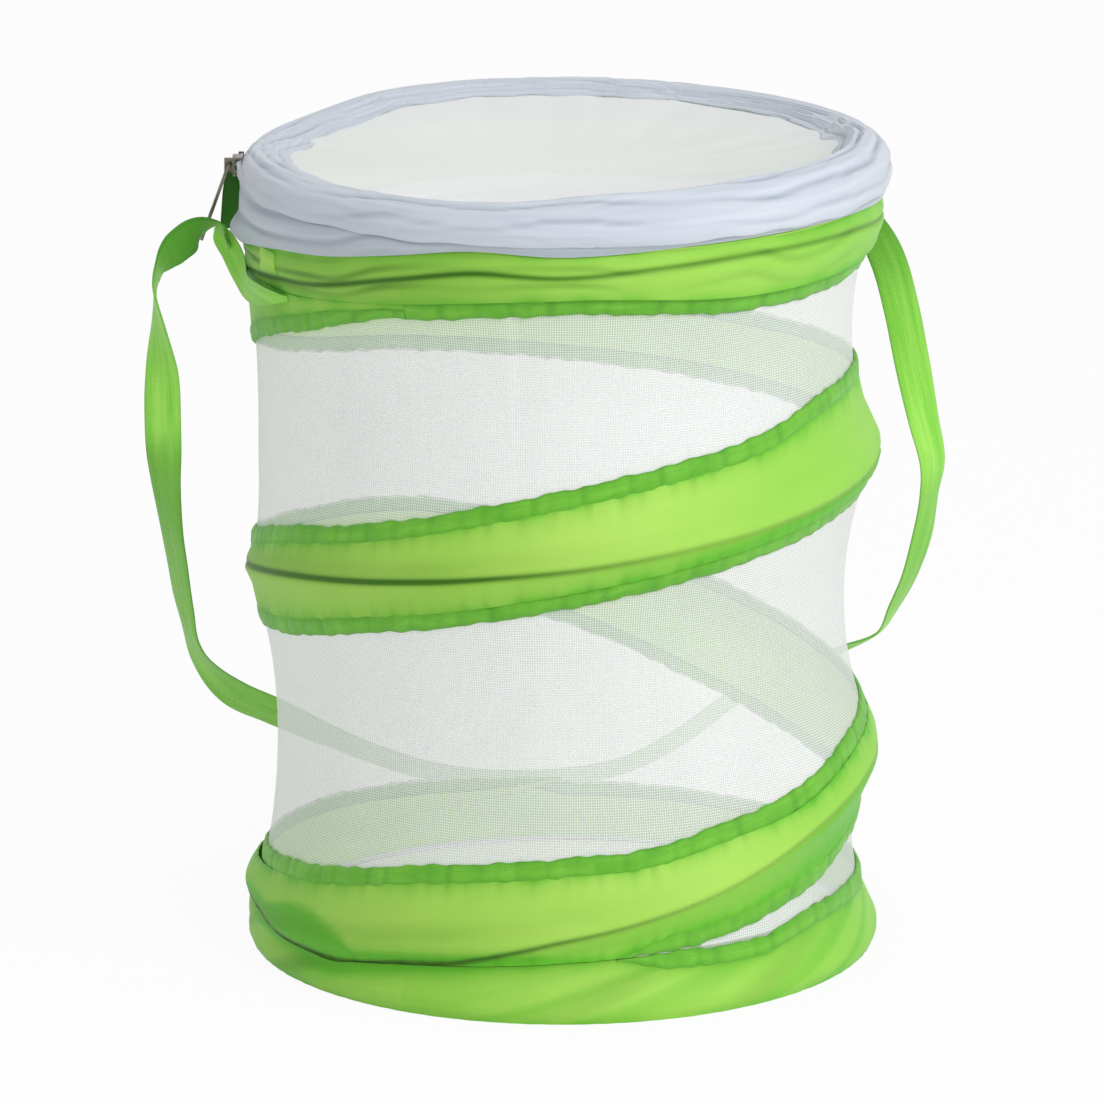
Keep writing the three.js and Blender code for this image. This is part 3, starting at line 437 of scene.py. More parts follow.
def shell(name, outer, inner, cloth_map, marks, closed=False, sharp=55.0):
    """A closed sheet of cloth between an outer and an inner grid of points.

    The grids run along the cloth first and across it second. cloth_map has one row more than
    they have where the cloth closes on itself.
    """
    count, across = outer.shape[:2]
    ring = ring_of(outer, inner)
    around = 2 * across
    i, k = np.meshgrid(np.arange(count if closed else count - 1), np.arange(around), indexing="ij")
    i, k = i.ravel(), k.ravel()
    i_next, k_next = (i + 1) % count, (k + 1) % around
    faces = np.stack(
        [i * around + k, i_next * around + k, i_next * around + k_next, i * around + k_next], axis=1
    )
    spread = ring_of(cloth_map, cloth_map)
    maps = np.stack([spread[i, k], spread[i + 1, k], spread[i + 1, k_next], spread[i, k_next]], axis=1)
    if not closed:
        k = np.arange(across - 1)
        for section, turned in ((0, True), (count - 1, False)):
            far = around - 1 - k
            cap = np.stack([k, k + 1, far - 1, far], axis=1)
            cap_map = spread[section][cap]
            if not turned:
                cap, cap_map = cap[:, ::-1], cap_map[:, ::-1]
            faces = np.concatenate([faces, section * around + cap])
            maps = np.concatenate([maps, cap_map])
    spread_marks = {mark: ring_of(grid, grid).reshape(-1) for mark, grid in marks.items()}
    return build_mesh(name, ring.reshape(-1, 3), faces, maps, spread_marks, sharp)


def crease_rows(line, low, high, below=8, above=10):
    """Shares across a casing that crowd together where its crease runs, at line(turn)."""
    near = np.array([-1, -0.7, -0.45, -0.28, -0.13, 0, 0.13, 0.28, 0.45, 0.7, 1])

    def rows(turn):
        # Even steps below the crease, close ones across it, and even steps above it
        span = high(turn) - low(turn)
        reach = np.minimum(3.4 / span, 0.3)
        centre = np.clip((line(turn) - low(turn)) / span, reach + 0.03, 0.97 - reach)
        under = (centre - reach) * np.linspace(0, 1, below, endpoint=False)
        over = centre + reach + (1 - centre - reach) * np.linspace(0, 1, above + 1)[1:]
        return np.concatenate([under, centre + reach * near, over], axis=1)

    return rows


def even_rows(count):
    """Shares across a cloth in even steps."""
    return lambda turn: np.linspace(0, 1, count)[None, :] + 0 * turn


# How far the painted shade at a sewn edge reaches into a cloth, in millimetres
EDGE_SHADE_REACH = 3.2


def cloth_strip(
    name, start, end, step, low, high, rows, radius, half, crease=None, closed=False, edge=0.0,
    tint_and_shade=None,
):
    """Cloth round the cage from a low to a high edge.

    low(turn) and high(turn) give its edges, rows(turn) its points' shares of the way between
    them, radius(turn, height, share) its middle and half(turn, share) half its thickness.
    crease(turn, height, share) gives its painted shade in creases and folds. edge says how strongly
    painted shade deepens its green at its sewn edges, and its tint, from (turn, height), how much
    deeper its green is, partly as painted shade.
    """
    count = int(np.ceil((end - start) / step))
    turns = np.linspace(start, end, count + 1)
    grid_turn = turns[:-1] if closed else turns
    turn = grid_turn[:, None]
    share = rows(turn)
    height = low(turn) + (high(turn) - low(turn)) * share
    middle = radius(turn, height, share)
    thick = half(turn, share)
    # Painted shade: the crease mark, and the edge mark, which deepens the green at the sewn edges and
    # adds the tint's deeper green
    shade = np.zeros_like(middle) if crease is None else crease(turn, height, share)
    near = np.minimum(height - low(turn), high(turn) - height)
    sway = 1 + 0.5 * ripple(turn, [(30.0, 0.6), (75.0, 0.6)], 17)
    deep = 0 * middle if tint_and_shade is None else tint_and_shade(turn, height)
    marks = {"crease": shade, "edge": deep + edge * sway * np.exp(-near / EDGE_SHADE_REACH)}
    map_turn = turns[:, None]
    across = (high(map_turn) - low(map_turn)) * rows(map_turn)
    arc = np.broadcast_to(np.radians(map_turn) * RING_RADIUS, across.shape)
    cloth_map = np.stack([arc, across], axis=-1) * MM
    return shell(
        name,
        polar(turn, middle + thick, height),
        polar(turn, middle - thick, height),
        cloth_map,
        marks,
        closed,
    )


# Shader groups and materials
def sockets(tree, rows):
    """Adds a group's named inputs and outputs: rows of in or out, name, kind and value."""
    for way, name, kind, value in rows:
        socket = tree.interface.new_socket(
            name=name, in_out="INPUT" if way == "in" else "OUTPUT", socket_type="NodeSocket" + kind
        )
        if value is not None:
            socket.default_value = value


def add(tree, kind, inputs=None, **settings):
    """A node with its settings, and its inputs set to values or linked to sockets."""
    node = tree.nodes.new(kind)
    for key, value in settings.items():
        setattr(node, key, value)
    for key, value in (inputs or {}).items():
        if isinstance(value, bpy.types.NodeSocket):
            tree.links.new(value, node.inputs[key])
        else:
            node.inputs[key].default_value = value
    return node


def maths(tree, operation, *values, clamp=False):
    """The result of one operation on values or sockets."""
    return add(
        tree, "ShaderNodeMath", dict(enumerate(values)), operation=operation, use_clamp=clamp
    ).outputs[0]


def new_group(name, rows):
    """A shader group with its sockets, and the two nodes at its ends."""
    tree = bpy.data.node_groups.new(name, "ShaderNodeTree")
    sockets(tree, rows)
    return tree, tree.nodes.new("NodeGroupInput").outputs, tree.nodes.new("NodeGroupOutput")


def woven_cloth_group():
    """Plain weave: two crossed sines, whose product is high where a thread lies on top."""
    tree, given, out = new_group(
        "woven cloth",
        [
            ("in", "Map", "Vector", None),
            ("in", "Pitch", "Float", 0.0008),
            ("out", "Height", "Float", None),
        ],
    )
    parts = add(tree, "ShaderNodeSeparateXYZ", {0: given["Map"]}).outputs
    turns = maths(tree, "DIVIDE", 2 * np.pi, given["Pitch"])
    waves = [maths(tree, "SINE", maths(tree, "MULTIPLY", parts[axis], turns)) for axis in (0, 1)]
    product = maths(tree, "MULTIPLY", *waves)
    tree.links.new(maths(tree, "MULTIPLY_ADD", product, 0.5, 0.5), out.inputs["Height"])
    return tree


def soft_streaks_group():
    """Broad uneven patches, drawn out along the cloth."""
    tree, given, out = new_group(
        "soft streaks",
        [
            ("in", "Map", "Vector", None),
            ("in", "Along", "Float", 20.0),
            ("in", "Across", "Float", 60.0),
            ("in", "Contrast", "Float", 2.0),
            ("out", "Factor", "Float", None),
        ],
    )
    scale = add(tree, "ShaderNodeCombineXYZ", {0: given["Along"], 1: given["Across"], 2: 30.0})
    place = add(
        tree, "ShaderNodeVectorMath", {0: given["Map"], 1: scale.outputs[0]}, operation="MULTIPLY"
    )
    noise = add(tree, "ShaderNodeTexNoise", {"Vector": place.outputs[0], "Scale": 1.0, "Detail": 3.0})
    level = maths(tree, "SUBTRACT", noise.outputs["Fac"], 0.5)
    factor = maths(tree, "MULTIPLY_ADD", level, given["Contrast"], 0.5, clamp=True)
    tree.links.new(factor, out.inputs["Factor"])
    return tree


def knitted_net_group():
    """Net: threads along it and across it, where either of two crossed sines is near nothing."""
    tree, given, out = new_group(
        "knitted net",
        [
            ("in", "Map", "Vector", None),
            ("in", "Pitch", "Float", 0.00125),
            ("in", "Hole Alpha", "Float", 0.3),
            ("in", "Thread Alpha", "Float", 0.95),
            ("out", "Alpha", "Float", None),
            ("out", "Height", "Float", None),
        ],
    )
    parts = add(tree, "ShaderNodeSeparateXYZ", {0: given["Map"]}).outputs
    turns = maths(tree, "DIVIDE", np.pi, given["Pitch"])
    waves = [maths(tree, "SINE", maths(tree, "MULTIPLY", parts[axis], turns)) for axis in (0, 1)]
    open_part = maths(tree, "ABSOLUTE", maths(tree, "MULTIPLY", *waves))
    thread = add(
        tree,
        "ShaderNodeMapRange",
        {"Value": open_part, "From Min": 0.1, "From Max": 0.55, "To Min": 1.0, "To Max": 0.0},
        interpolation_type="SMOOTHSTEP",
    ).outputs["Result"]
    alpha = add(
        tree,
        "ShaderNodeMapRange",
        {"Value": thread, "To Min": given["Hole Alpha"], "To Max": given["Thread Alpha"]},
    ).outputs["Result"]
    tree.links.new(alpha, out.inputs["Alpha"])
    tree.links.new(thread, out.inputs["Height"])
    return tree


def stitch_row_group():
    """A row of stitches at a distance across the cloth: short dashes along it."""
    tree, given, out = new_group(
        "stitch row",
        [
            ("in", "Map", "Vector", None),
            ("in", "Row", "Float", 0.0015),
            ("in", "Pitch", "Float", 0.0028),
            ("in", "Half Width", "Float", 0.0003),
            ("out", "Mask", "Float", None),
        ],
    )
    parts = add(tree, "ShaderNodeSeparateXYZ", {0: given["Map"]}).outputs
    away = maths(tree, "ABSOLUTE", maths(tree, "SUBTRACT", parts[1], given["Row"]))
    on_row = maths(tree, "LESS_THAN", away, given["Half Width"])
    share = maths(tree, "FRACT", maths(tree, "DIVIDE", parts[0], given["Pitch"]))
    dash = maths(tree, "LESS_THAN", share, 0.68)
    tree.links.new(maths(tree, "MULTIPLY", on_row, dash), out.inputs["Mask"])
    return tree


WOVEN = woven_cloth_group()
STREAKS = soft_streaks_group()
NET = knitted_net_group()
STITCHES = stitch_row_group()


def seen(red, green, blue):
    """A colour as it is seen on a screen, from 0 to 255, as Blender's linear colour."""
    share = np.array([red, green, blue]) / 255
    linear = np.where(share <= 0.04045, share / 12.92, ((share + 0.055) / 1.055) ** 2.4)
    return (*linear.tolist(), 1.0)


def new_material(name):
    """A material with one shader, which is linked to its output."""
    material = bpy.data.materials.new(name)
    material.use_nodes = True
    tree = material.node_tree
    tree.nodes.clear()
    shader = add(tree, "ShaderNodeBsdfPrincipled")
    add(tree, "ShaderNodeOutputMaterial", {"Surface": shader.outputs[0]})
    return material, tree, shader


def mix_colours(tree, factor, one, two):
    """The first colour, turned into the second as the factor goes from 0 to 1."""
    node = add(tree, "ShaderNodeMix", {"Factor": factor}, data_type="RGBA")
    for slot, colour in ((6, one), (7, two)):
        if isinstance(colour, bpy.types.NodeSocket):
            tree.links.new(colour, node.inputs[slot])
        else:
            node.inputs[slot].default_value = colour
    return node.outputs[2]


def group_node(tree, group, **inputs):
    """A shader group in a material, with its inputs set or linked."""
    node = add(tree, "ShaderNodeGroup", node_tree=group)
    for key, value in inputs.items():
        socket = node.inputs[key.replace("_", " ")]
        if isinstance(value, bpy.types.NodeSocket):
            tree.links.new(value, socket)
        else:
            socket.default_value = value
    return node.outputs


CLOTH_ROUGHNESS = 0.55
CLOTH_SPECULAR = 0.22


def cloth_material(
    name, light, dark, crease, edge=None, weave=0.0009, bump=0.00012, sheen=0.25,
    streaks=(14.0, 60.0, 2.2), stitches=(), thread=None,
):
    """Sewn cloth: streaked colour, a deeper green and painted shade by its edge mark, painted shade in
    its creases, a weave and stitch rows.
    """
    material, tree, shader = new_material(name)
    cloth_map = add(tree, "ShaderNodeUVMap", uv_map="cloth_map").outputs[0]
    crease_mark = add(tree, "ShaderNodeAttribute", attribute_name="crease").outputs["Fac"]
    edge_mark = add(tree, "ShaderNodeAttribute", attribute_name="edge").outputs["Fac"]
    along, across, contrast = streaks
    patch = group_node(tree, STREAKS, Map=cloth_map, Along=along, Across=across, Contrast=contrast)[0]
    colour = mix_colours(tree, patch, light, dark)
    # Painted shade: the edge mark blends in the edge colour, and the crease mark the crease colour
    colour = mix_colours(tree, edge_mark, colour, edge or dark)
    colour = mix_colours(tree, crease_mark, colour, crease)
    height = group_node(tree, WOVEN, Map=cloth_map, Pitch=weave)[0]
    for row in stitches:
        mask = group_node(tree, STITCHES, Map=cloth_map, Row=row)[0]
        colour = mix_colours(tree, mask, colour, thread or crease)
        height = maths(tree, "MULTIPLY_ADD", mask, 2.5, height)
    relief = add(tree, "ShaderNodeBump", {"Height": height, "Distance": bump, "Strength": 0.6})
    tree.links.new(colour, shader.inputs["Base Color"])
    tree.links.new(relief.outputs[0], shader.inputs["Normal"])
    shader.inputs["Roughness"].default_value = CLOTH_ROUGHNESS
    shader.inputs["Sheen Weight"].default_value = sheen
    shader.inputs["Specular IOR Level"].default_value = CLOTH_SPECULAR
    return material


def seen_rays(tree):
    """One for the rays that show a surface to the camera, to metal and through glass."""
    rays = add(tree, "ShaderNodeLightPath").outputs
    mirrored = maths(tree, "MAXIMUM", rays["Is Glossy Ray"], rays["Is Transmission Ray"])
    return maths(tree, "MAXIMUM", rays["Is Camera Ray"], mirrored)


# How much of a net's cover counts for the light that falls through it
NET_SHADE = 0.42


def net_material(name, colour, hole_alpha, thread_alpha):
    """Net that is seen denser than it shades, because light also comes through its threads."""
    material, tree, shader = new_material(name)
    cloth_map = add(tree, "ShaderNodeUVMap", uv_map="cloth_map").outputs[0]
    mesh = group_node(tree, NET, Map=cloth_map, Hole_Alpha=hole_alpha, Thread_Alpha=thread_alpha)
    patch = group_node(tree, STREAKS, Map=cloth_map, Along=9.0, Across=12.0, Contrast=1.6)[0]
    dim = tuple(0.93 * value for value in colour[:3]) + (1.0,)
    relief = add(tree, "ShaderNodeBump", {"Height": mesh["Height"], "Distance": 0.0001, "Strength": 0.4})
    tree.links.new(mix_colours(tree, patch, colour, dim), shader.inputs["Base Color"])
    shading = add(
        tree, "ShaderNodeMapRange", {"Value": seen_rays(tree), "To Min": NET_SHADE, "To Max": 1.0}
    ).outputs["Result"]
    tree.links.new(maths(tree, "MULTIPLY", mesh["Alpha"], shading), shader.inputs["Alpha"])
    tree.links.new(relief.outputs[0], shader.inputs["Normal"])
    shader.inputs["Roughness"].default_value = 0.7
    shader.inputs["Specular IOR Level"].default_value = 0.2
    return material


METAL_ROUGHNESS = 0.3
METAL_GRAIN = 900.0


def metal_material(name, colour):
    """Metal with fine streaks of wear in its roughness and colour."""
    material, tree, shader = new_material(name)
    place = add(tree, "ShaderNodeTexCoord").outputs["Object"]
    noise = add(
        tree, "ShaderNodeTexNoise", {"Vector": place, "Scale": METAL_GRAIN, "Detail": 4.0}
    ).outputs["Fac"]
    worn = tuple(0.75 * value for value in colour[:3]) + (1.0,)
    tree.links.new(mix_colours(tree, noise, colour, worn), shader.inputs["Base Color"])
    rough = add(
        tree,
        "ShaderNodeMapRange",
        {"Value": noise, "To Min": METAL_ROUGHNESS - 0.1, "To Max": METAL_ROUGHNESS + 0.15},
    ).outputs["Result"]
    relief = add(tree, "ShaderNodeBump", {"Height": noise, "Distance": 0.00003, "Strength": 0.3})
    tree.links.new(rough, shader.inputs["Roughness"])
    tree.links.new(relief.outputs[0], shader.inputs["Normal"])
    shader.inputs["Metallic"].default_value = 1.0
    return material


def plastic_material(name, colour):
    """Moulded plastic with faint clouds in its colour."""
    material, tree, shader = new_material(name)
    place = add(tree, "ShaderNodeTexCoord").outputs["Object"]
    noise = add(
        tree, "ShaderNodeTexNoise", {"Vector": place, "Scale": 400.0, "Detail": 2.0}
    ).outputs["Fac"]
    dim = tuple(0.86 * value for value in colour[:3]) + (1.0,)
    tree.links.new(mix_colours(tree, noise, colour, dim), shader.inputs["Base Color"])
    shader.inputs["Roughness"].default_value = 0.42
    return material


# The casing's crease colour is painted shade in its creases, folds and gathers. Its edge colour, a
# deeper green, is painted shade at its sewn edges, sides and tuck, and just a deeper green along its
# last seam, below its crease and in patches.
CASING = cloth_material(
    "casing cloth", seen(186, 232, 103), seen(168, 221, 87), seen(58, 112, 4), seen(100, 192, 38),
    streaks=(9.0, 34.0, 2.4), sheen=0.12,
)
# The binding's crease colour is painted shade in its gathers, along its seams and at its sewn edge.
BINDING = cloth_material(
    "binding cloth", seen(122, 198, 60), seen(98, 180, 44), seen(52, 128, 22), seen(136, 208, 72),
    weave=0.0007, streaks=(45.0, 160.0, 2.8), stitches=(0.0014, 0.0062), thread=seen(104, 184, 50),
    sheen=0.2,
)
# The white cloth's crease colour, a lavender grey, is painted shade in its folds.
WHITE = cloth_material(
    "white cloth", seen(214, 220, 230), seen(198, 205, 217), seen(146, 158, 172), weave=0.0008,
    streaks=(10.0, 240.0, 2.4), sheen=0.3,
)
# The webbing's crease colour darkens it towards its edges and is painted shade along the strap.
WEBBING = cloth_material(
    "strap webbing", seen(166, 232, 96), seen(130, 212, 66), seen(70, 146, 30), weave=0.0016,
    bump=0.00022, streaks=(18.0, 320.0, 2.8), sheen=0.25,
)
# The tab's dark greens are partly its own colour and partly painted shade.
TAB_CLOTH = cloth_material(
    "tab cloth", seen(66, 132, 40), seen(40, 98, 26), seen(14, 46, 10), weave=0.0009, sheen=0.2
)
WALL_NET = net_material("wall net", seen(250, 251, 252), 0.46, 0.8)
LID_NET = net_material("lid net", seen(250, 252, 252), 0.83, 1.0)
FLOOR_NET = net_material("floor net", seen(251, 251, 252), 0.85, 1.0)
COIL = plastic_material("zip coil", seen(222, 224, 236))
ZIP_METAL = metal_material("zip metal", seen(128, 124, 110))
SPRING_STEEL = metal_material("spring steel", seen(190, 192, 196))


def finish_piece(piece, material, body, slot, *nodes):
    """Gives a piece its material and its body, and hides the imported nodes that it stands for; slot is
    not used.
    """
    piece.data.materials.clear()
    piece.data.materials.append(material)
    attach(piece, body)
    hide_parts(*nodes)
    return piece


# Camera, placed first
CAMERA_PLACE = (-1.738, -3.727, 1.293)
CAMERA_AIM = (0.0, 0.0, 0.195)
PHOTO_SIZE = 1104.0
PHOTO_FOCAL = 8860.0
PHOTO_CENTRE = (562.7, 540.8)
SENSOR = 36.0

camera_data = bpy.data.cameras.new("camera")
camera_data.sensor_width = SENSOR
camera_data.lens = SENSOR * PHOTO_FOCAL / PHOTO_SIZE
camera_data.shift_x = (PHOTO_SIZE / 2 - PHOTO_CENTRE[0]) / PHOTO_SIZE
camera_data.shift_y = (PHOTO_CENTRE[1] - PHOTO_SIZE / 2) / PHOTO_SIZE
camera_data.clip_end = 100.0
camera = bpy.data.objects.new("camera", camera_data)
bpy.context.scene.collection.objects.link(camera)


def aim(thing, place, target):
    """Puts a camera or a lamp at a place, with its -Z axis towards a target and Y upward."""
    thing.location = place
    back = np.array(place, float) - np.array(target, float)
    thing.rotation_euler = Vector(back).to_track_quat("Z", "Y").to_euler()


aim(camera, CAMERA_PLACE, CAMERA_AIM)
bpy.context.scene.camera = camera


# Casings
STRIP_STEP = 0.5


def edge_pleats(turn, share, seed, size=0.7, closed=True):
    """Small pleats that run in from a casing's sewn edges and fade towards its middle."""
    edge = np.abs(2 * share - 1) ** 2
    gathers = ripple(turn, [(9.0, 0.5), (14.0, 0.5), (23.0, 0.4)], seed, closed)
    broad = ripple(turn, [(70.0, 0.6), (130.0, 0.6)], seed + 1, closed)
    return size * gathers * edge + broad * (1 - edge)


# How far above its wire the helix casing's crease runs, in millimetres by the turn
CREASE_RISE = [
    (0, 1.3), (240, 0), (275, -1.8), (325, -1.2), (345, 0.2), (365, 1.2), (500, 1.3), (630, 0.5),
    (650, -1), (668, -2.6), (683, -3.4), (691, -3.8), (698, -5.5), (705, -7.5), (711, -9),
    (721, -8.3), (731, -9.7), (737, -9.2), (744, -6), (752, -2), (766, 8), (785, 7), (800, 2), (870, 1),
]


def helix_crease_height(turn):
    """The crease's height: its wire's, and how far it runs above it."""
    return helix_wire(turn) + smooth(CREASE_RISE, turn)


def wire_crease(turn, height):
    """The groove along a wire: one where it is deepest, falling to nothing."""
    return hump(wire_distance(turn, height), 1.3, 1.6)


def helix_groove(turn, height):
    """The same groove on the helix casing, where it strays from its wire."""
    return hump(height, helix_crease_height(turn), 1.6)


def side_shade(turn):
    """How shaded a casing's folds are at a turn, from 0 to 1."""
    return np.clip(smooth(SHADED_SIDE, wrap(turn, -180.0)), 0, 1)


CREASE_DEPTH = 0.8


def casing_radius(seed, size=0.7, closed=True, groove=wire_crease, depth=CREASE_DEPTH):
    """A casing's outer cloth: the wall's radius, lifted over its wire and creased along it."""

    def radius(turn, height, share):
        # The larger of the wall's and the ridge's radius, with pleats, less the groove
        skin = skin_radius(turn, height) + SKIN_GAP
        ridge = RING_RADIUS + ridge_lift(turn, height)
        lifted = np.maximum(skin, ridge) + 0.25 * edge_pleats(turn, share, seed, size, closed)
        return lifted - depth * groove(turn, height)

    return radius


def casing_crease(strength, seed=3, closed=True, groove=wire_crease):
    """Painted shade: in the wire's crease, softly over it, in the gathers at the sewn edges and all over
    on the shaded side.
    """

    def crease(turn, height, share):
        # The painted shade of the groove's line and a bell curve above it, with waves at the two sewn
        # edges
        above = wire_distance(turn, height)
        side = side_shade(turn)
        line = (0.35 + 0.8 * side) * groove(turn, height)
        fold = strength * (line + 0.2 * side * hump(above, 6.0, 5.0))
        edge = np.abs(2 * share - 1) ** 4
        gathers = np.clip(ripple(turn, [(9.0, 0.6), (14.0, 0.6)], seed, closed), 0, 1)
        return np.clip(fold + 0.22 * edge * gathers + 0.1 * side, 0, 1)

    return crease


# The helix casing's bulge near its foot: where it is, how far it reaches along the turn and in
# height, and how far it stands out
BULGE_TURN = 780.0
BULGE_RUN = 30.0
BULGE_HEIGHT = 30.0
BULGE_RISE = 9.0
BULGE_LIFT = 6.2

# The painted shade of the tuck there: its top by the turn, its ends with how far each fades, and its
# fade down
TUCK_START = 724
TUCK_START_FADE = 8
TUCK_END = 776
TUCK_END_FADE = 12
TUCK_FADE = 4.2
TUCK_TOP = [
    (722, 20), (728, 24.5), (731, 28), (733.5, 32), (740.5, 37.2), (746, 38.8), (751, 37.6),
    (757, 33.2), (764, 28.6), (772, 25),
]


def helix_casing_radius(turn, height, share):
    """The helix casing, which bulges where it comes down onto the bottom ring."""
    bulge = BULGE_LIFT * hump(turn, BULGE_TURN, BULGE_RUN) * hump(height, BULGE_HEIGHT, BULGE_RISE)
    plain = casing_radius(21, 0.9, closed=False, groove=helix_groove)
    return plain(turn, height, share) + bulge


def tuck_shade(turn, height):
    """Painted shade: a deep green tuck under a fold where the helix casing comes down to the bottom one.
    """
    start = np.clip((turn - TUCK_START) / TUCK_START_FADE, 0, 1)
    end = np.clip((TUCK_END - turn) / TUCK_END_FADE, 0, 1)
    return start * end * np.clip((smooth(TUCK_TOP, turn) - height) / TUCK_FADE, 0, 1)


# The tint along the helix casing's last seam: how deep it is, its reach and where it ends
LAST_SEAM_DEPTH = 0.85
LAST_SEAM_REACH = 7.5
LAST_SEAM_END = 800


def helix_tint_and_shade(turn, height):
    """The helix casing's deeper green: a general one with painted shade at its far sides, painted shade
    in the tuck, and a deeper green along its last seam and below its crease.
    """
    joined = np.clip((turn - LOWER_BINDING_END + 5) / 25, 0, 1)
    joined = joined * np.clip((LAST_SEAM_END - turn) / 40, 0, 1)
    away = (height - helix_lower(turn)) / LAST_SEAM_REACH
    seam = LAST_SEAM_DEPTH * joined * np.exp(-(away**4))
    under = np.clip((helix_crease_height(turn) - height) / 2.0, 0, 1) * smooth(UNDER_TINT, turn)
    deep = np.maximum(0.9 * tuck_shade(turn, height), seam)
    return smooth(HELIX_TINT_AND_SHADE, turn) + np.maximum(deep, under)


def ring_tint_and_shade(turn, height):
    """A ring casing's deeper green by the turn, the same at each height: partly all round, and partly
    painted shade towards its sides and back.
    """
    return smooth(RING_TINT_AND_SHADE, wrap(turn, -180.0)) + 0 * height


def bottom_tint_and_shade(turn, height):
    """The bottom casing's deeper green: painted shade under the seam on the shaded side, the ring's
    deeper green and shade, and random patches.
    """
    seam = 0.6 * np.exp(-(((bottom_band_top(turn) - height) / 6.0) ** 2))
    patch = 0.25 * np.clip(ripple(turn + 1.3 * height, [(60.0, 0.8), (100.0, 0.6)], 63), 0, 1)
    return ring_tint_and_shade(turn, height) + patch + seam * side_shade(turn)


helix_crease = casing_crease(1.0, seed=5, closed=False, groove=helix_groove)


def bottom_crease(turn, height, share):
    """Painted shade on the bottom casing: slanting soft folds, a shaded seam under the helix casing and
    its shaded side.
    """
    slant = ripple(turn + 0.9 * height, [(70.0, 0.5), (115.0, 0.6)], 61)
    folds = 0.3 * np.clip(slant, 0, 1) * np.sin(np.pi * share)
    seam = 0.3 * np.exp(-(bottom_band_top(turn) - height) / 1.5)
    return np.clip(folds + seam + 0.1 * side_shade(turn), 0, 1)


def top_folds(turn, share):
    """The top casing's long folds: waves across it whose phase wanders round the ring."""
    sway = ripple(turn, [(160.0, 0.5), (260.0, 0.6)], 41)
    depth = 0.7 + 0.5 * ripple(turn, [(210.0, 0.6), (130.0, 0.5)], 43)
    return depth * np.sin(2 * np.pi * (2.6 * share + 0.4 * sway)) * np.sin(np.pi * share)


def top_crease_line(turn, height):
    """The groove of the top casing's crease, which droops with its upper edge."""
    return hump(height + droop(turn), smooth(TOP_CREASE, wrap(turn, -180.0)), 1.5)


# The top casing's broader ridge, how deep its long folds are, and how far the helix wire's own
# ridge lies below it where the wire starts, with the turns over which that fades
TOP_RIDGE_REACH = 3.0
TOP_RIDGE_FALL = 0.28
TOP_FOLD_DEPTH = 0.55
WIRE_START_DEPTH = 6
WIRE_START_TURN = 3
WIRE_START_FADE = 9


def top_casing_radius(turn, height, share):
    """The top casing: out over its wire, with long folds and one crease along the wire."""
    away = np.abs(height + 0.5 * droop(turn) - TOP_WIRE - 1.0)
    ridge = RIDGE_CREST - TOP_RIDGE_FALL * np.maximum(0, away - TOP_RIDGE_REACH)
    near_helix = np.maximum(0, np.abs(height - helix_wire(turn)) - RIDGE_REACH)
    begun = np.clip((turn - WIRE_START_TURN) / WIRE_START_FADE, 0, 1)
    over_helix = RIDGE_CREST - RIDGE_FALL * near_helix - WIRE_START_DEPTH * (1 - begun)
    lifted = np.maximum(ridge + TOP_FOLD_DEPTH * top_folds(turn, share), over_helix)
    return RING_RADIUS + lifted - CREASE_DEPTH * top_crease_line(turn, height)


def top_casing_crease(turn, height, share):
    """Painted shade in the crease and the long folds' valleys, deeper on the shaded side, where it also
    darkens the whole casing.
    """
    side = side_shade(turn)
    folds = np.clip(-top_folds(turn, share), 0, 1)
    line = top_crease_line(turn, height) * (0.6 + 0.4 * side)
    return np.clip(line + folds * (0.3 + 0.4 * side) + 0.2 * side, 0, 1)


def lining_radius(turn, height, share):
    """A casing's inner cloth: inside the wall's radius and clear of the wire."""
    skin = skin_radius(turn, height) - SKIN_GAP
    return np.minimum(skin, RING_RADIUS - ridge_lift(turn, height)) + 0 * share


def thin(half):
    """A cloth of one thickness."""
    return lambda turn, share: half + 0 * (turn + share)


def level(height):
    """An edge at one height."""
    return lambda turn: np.full(np.shape(turn), float(height))


def top_band_top(turn):
    """The top casing's upper edge: level, less its droop."""
    return TOP_BAND_TOP - droop(turn)


def top_crease_height(turn):
    """The top casing's crease, lowered by its droop."""
    return smooth(TOP_CREASE, wrap(turn, -180.0)) - droop(turn)


def sewn_sheet(piece, start, end, low, high, held, rests_on, with_pieces=()):
    """Works out a strip's width at each turn from start to end, and returns nothing."""
    turn = np.linspace(start, end, 721)
    wide = (high(turn) - low(turn)) * MM


TOP_LINING_BOTTOM = 344.0
BOTTOM_LINING_BOTTOM = 1.3


def lining_piece(name, end, low, high, body, node, wire, closed=True):
    """A casing's lining: a thin strip on the lining's radius, clear of the wire."""
    piece = cloth_strip(
        name, 0, end, 2 * STRIP_STEP, low, high, even_rows(9), lining_radius, thin(CLOTH_HALF),
        closed=closed,
    )
    sewn_sheet(piece, 0, end, low, high, "stretched", wire)
    return finish_piece(piece, CASING, body, "casing_cloth", node)


top_casing = cloth_strip(
    "top_casing_cloth", 0, FULL_TURN, STRIP_STEP, top_band_bottom, top_band_top,
    crease_rows(top_crease_height, top_band_bottom, top_band_top),
    top_casing_radius, thin(CLOTH_HALF), top_casing_crease, closed=True, edge=0.5, tint_and_shade=ring_tint_and_shade,
)
finish_piece(top_casing, CASING, "top", "casing_cloth", "top_band")

lining_piece(
    "top_casing_lining", FULL_TURN, level(TOP_LINING_BOTTOM), level(TOP_BAND_TOP),
    "top", "top_lining", "top_ring_wire",
)

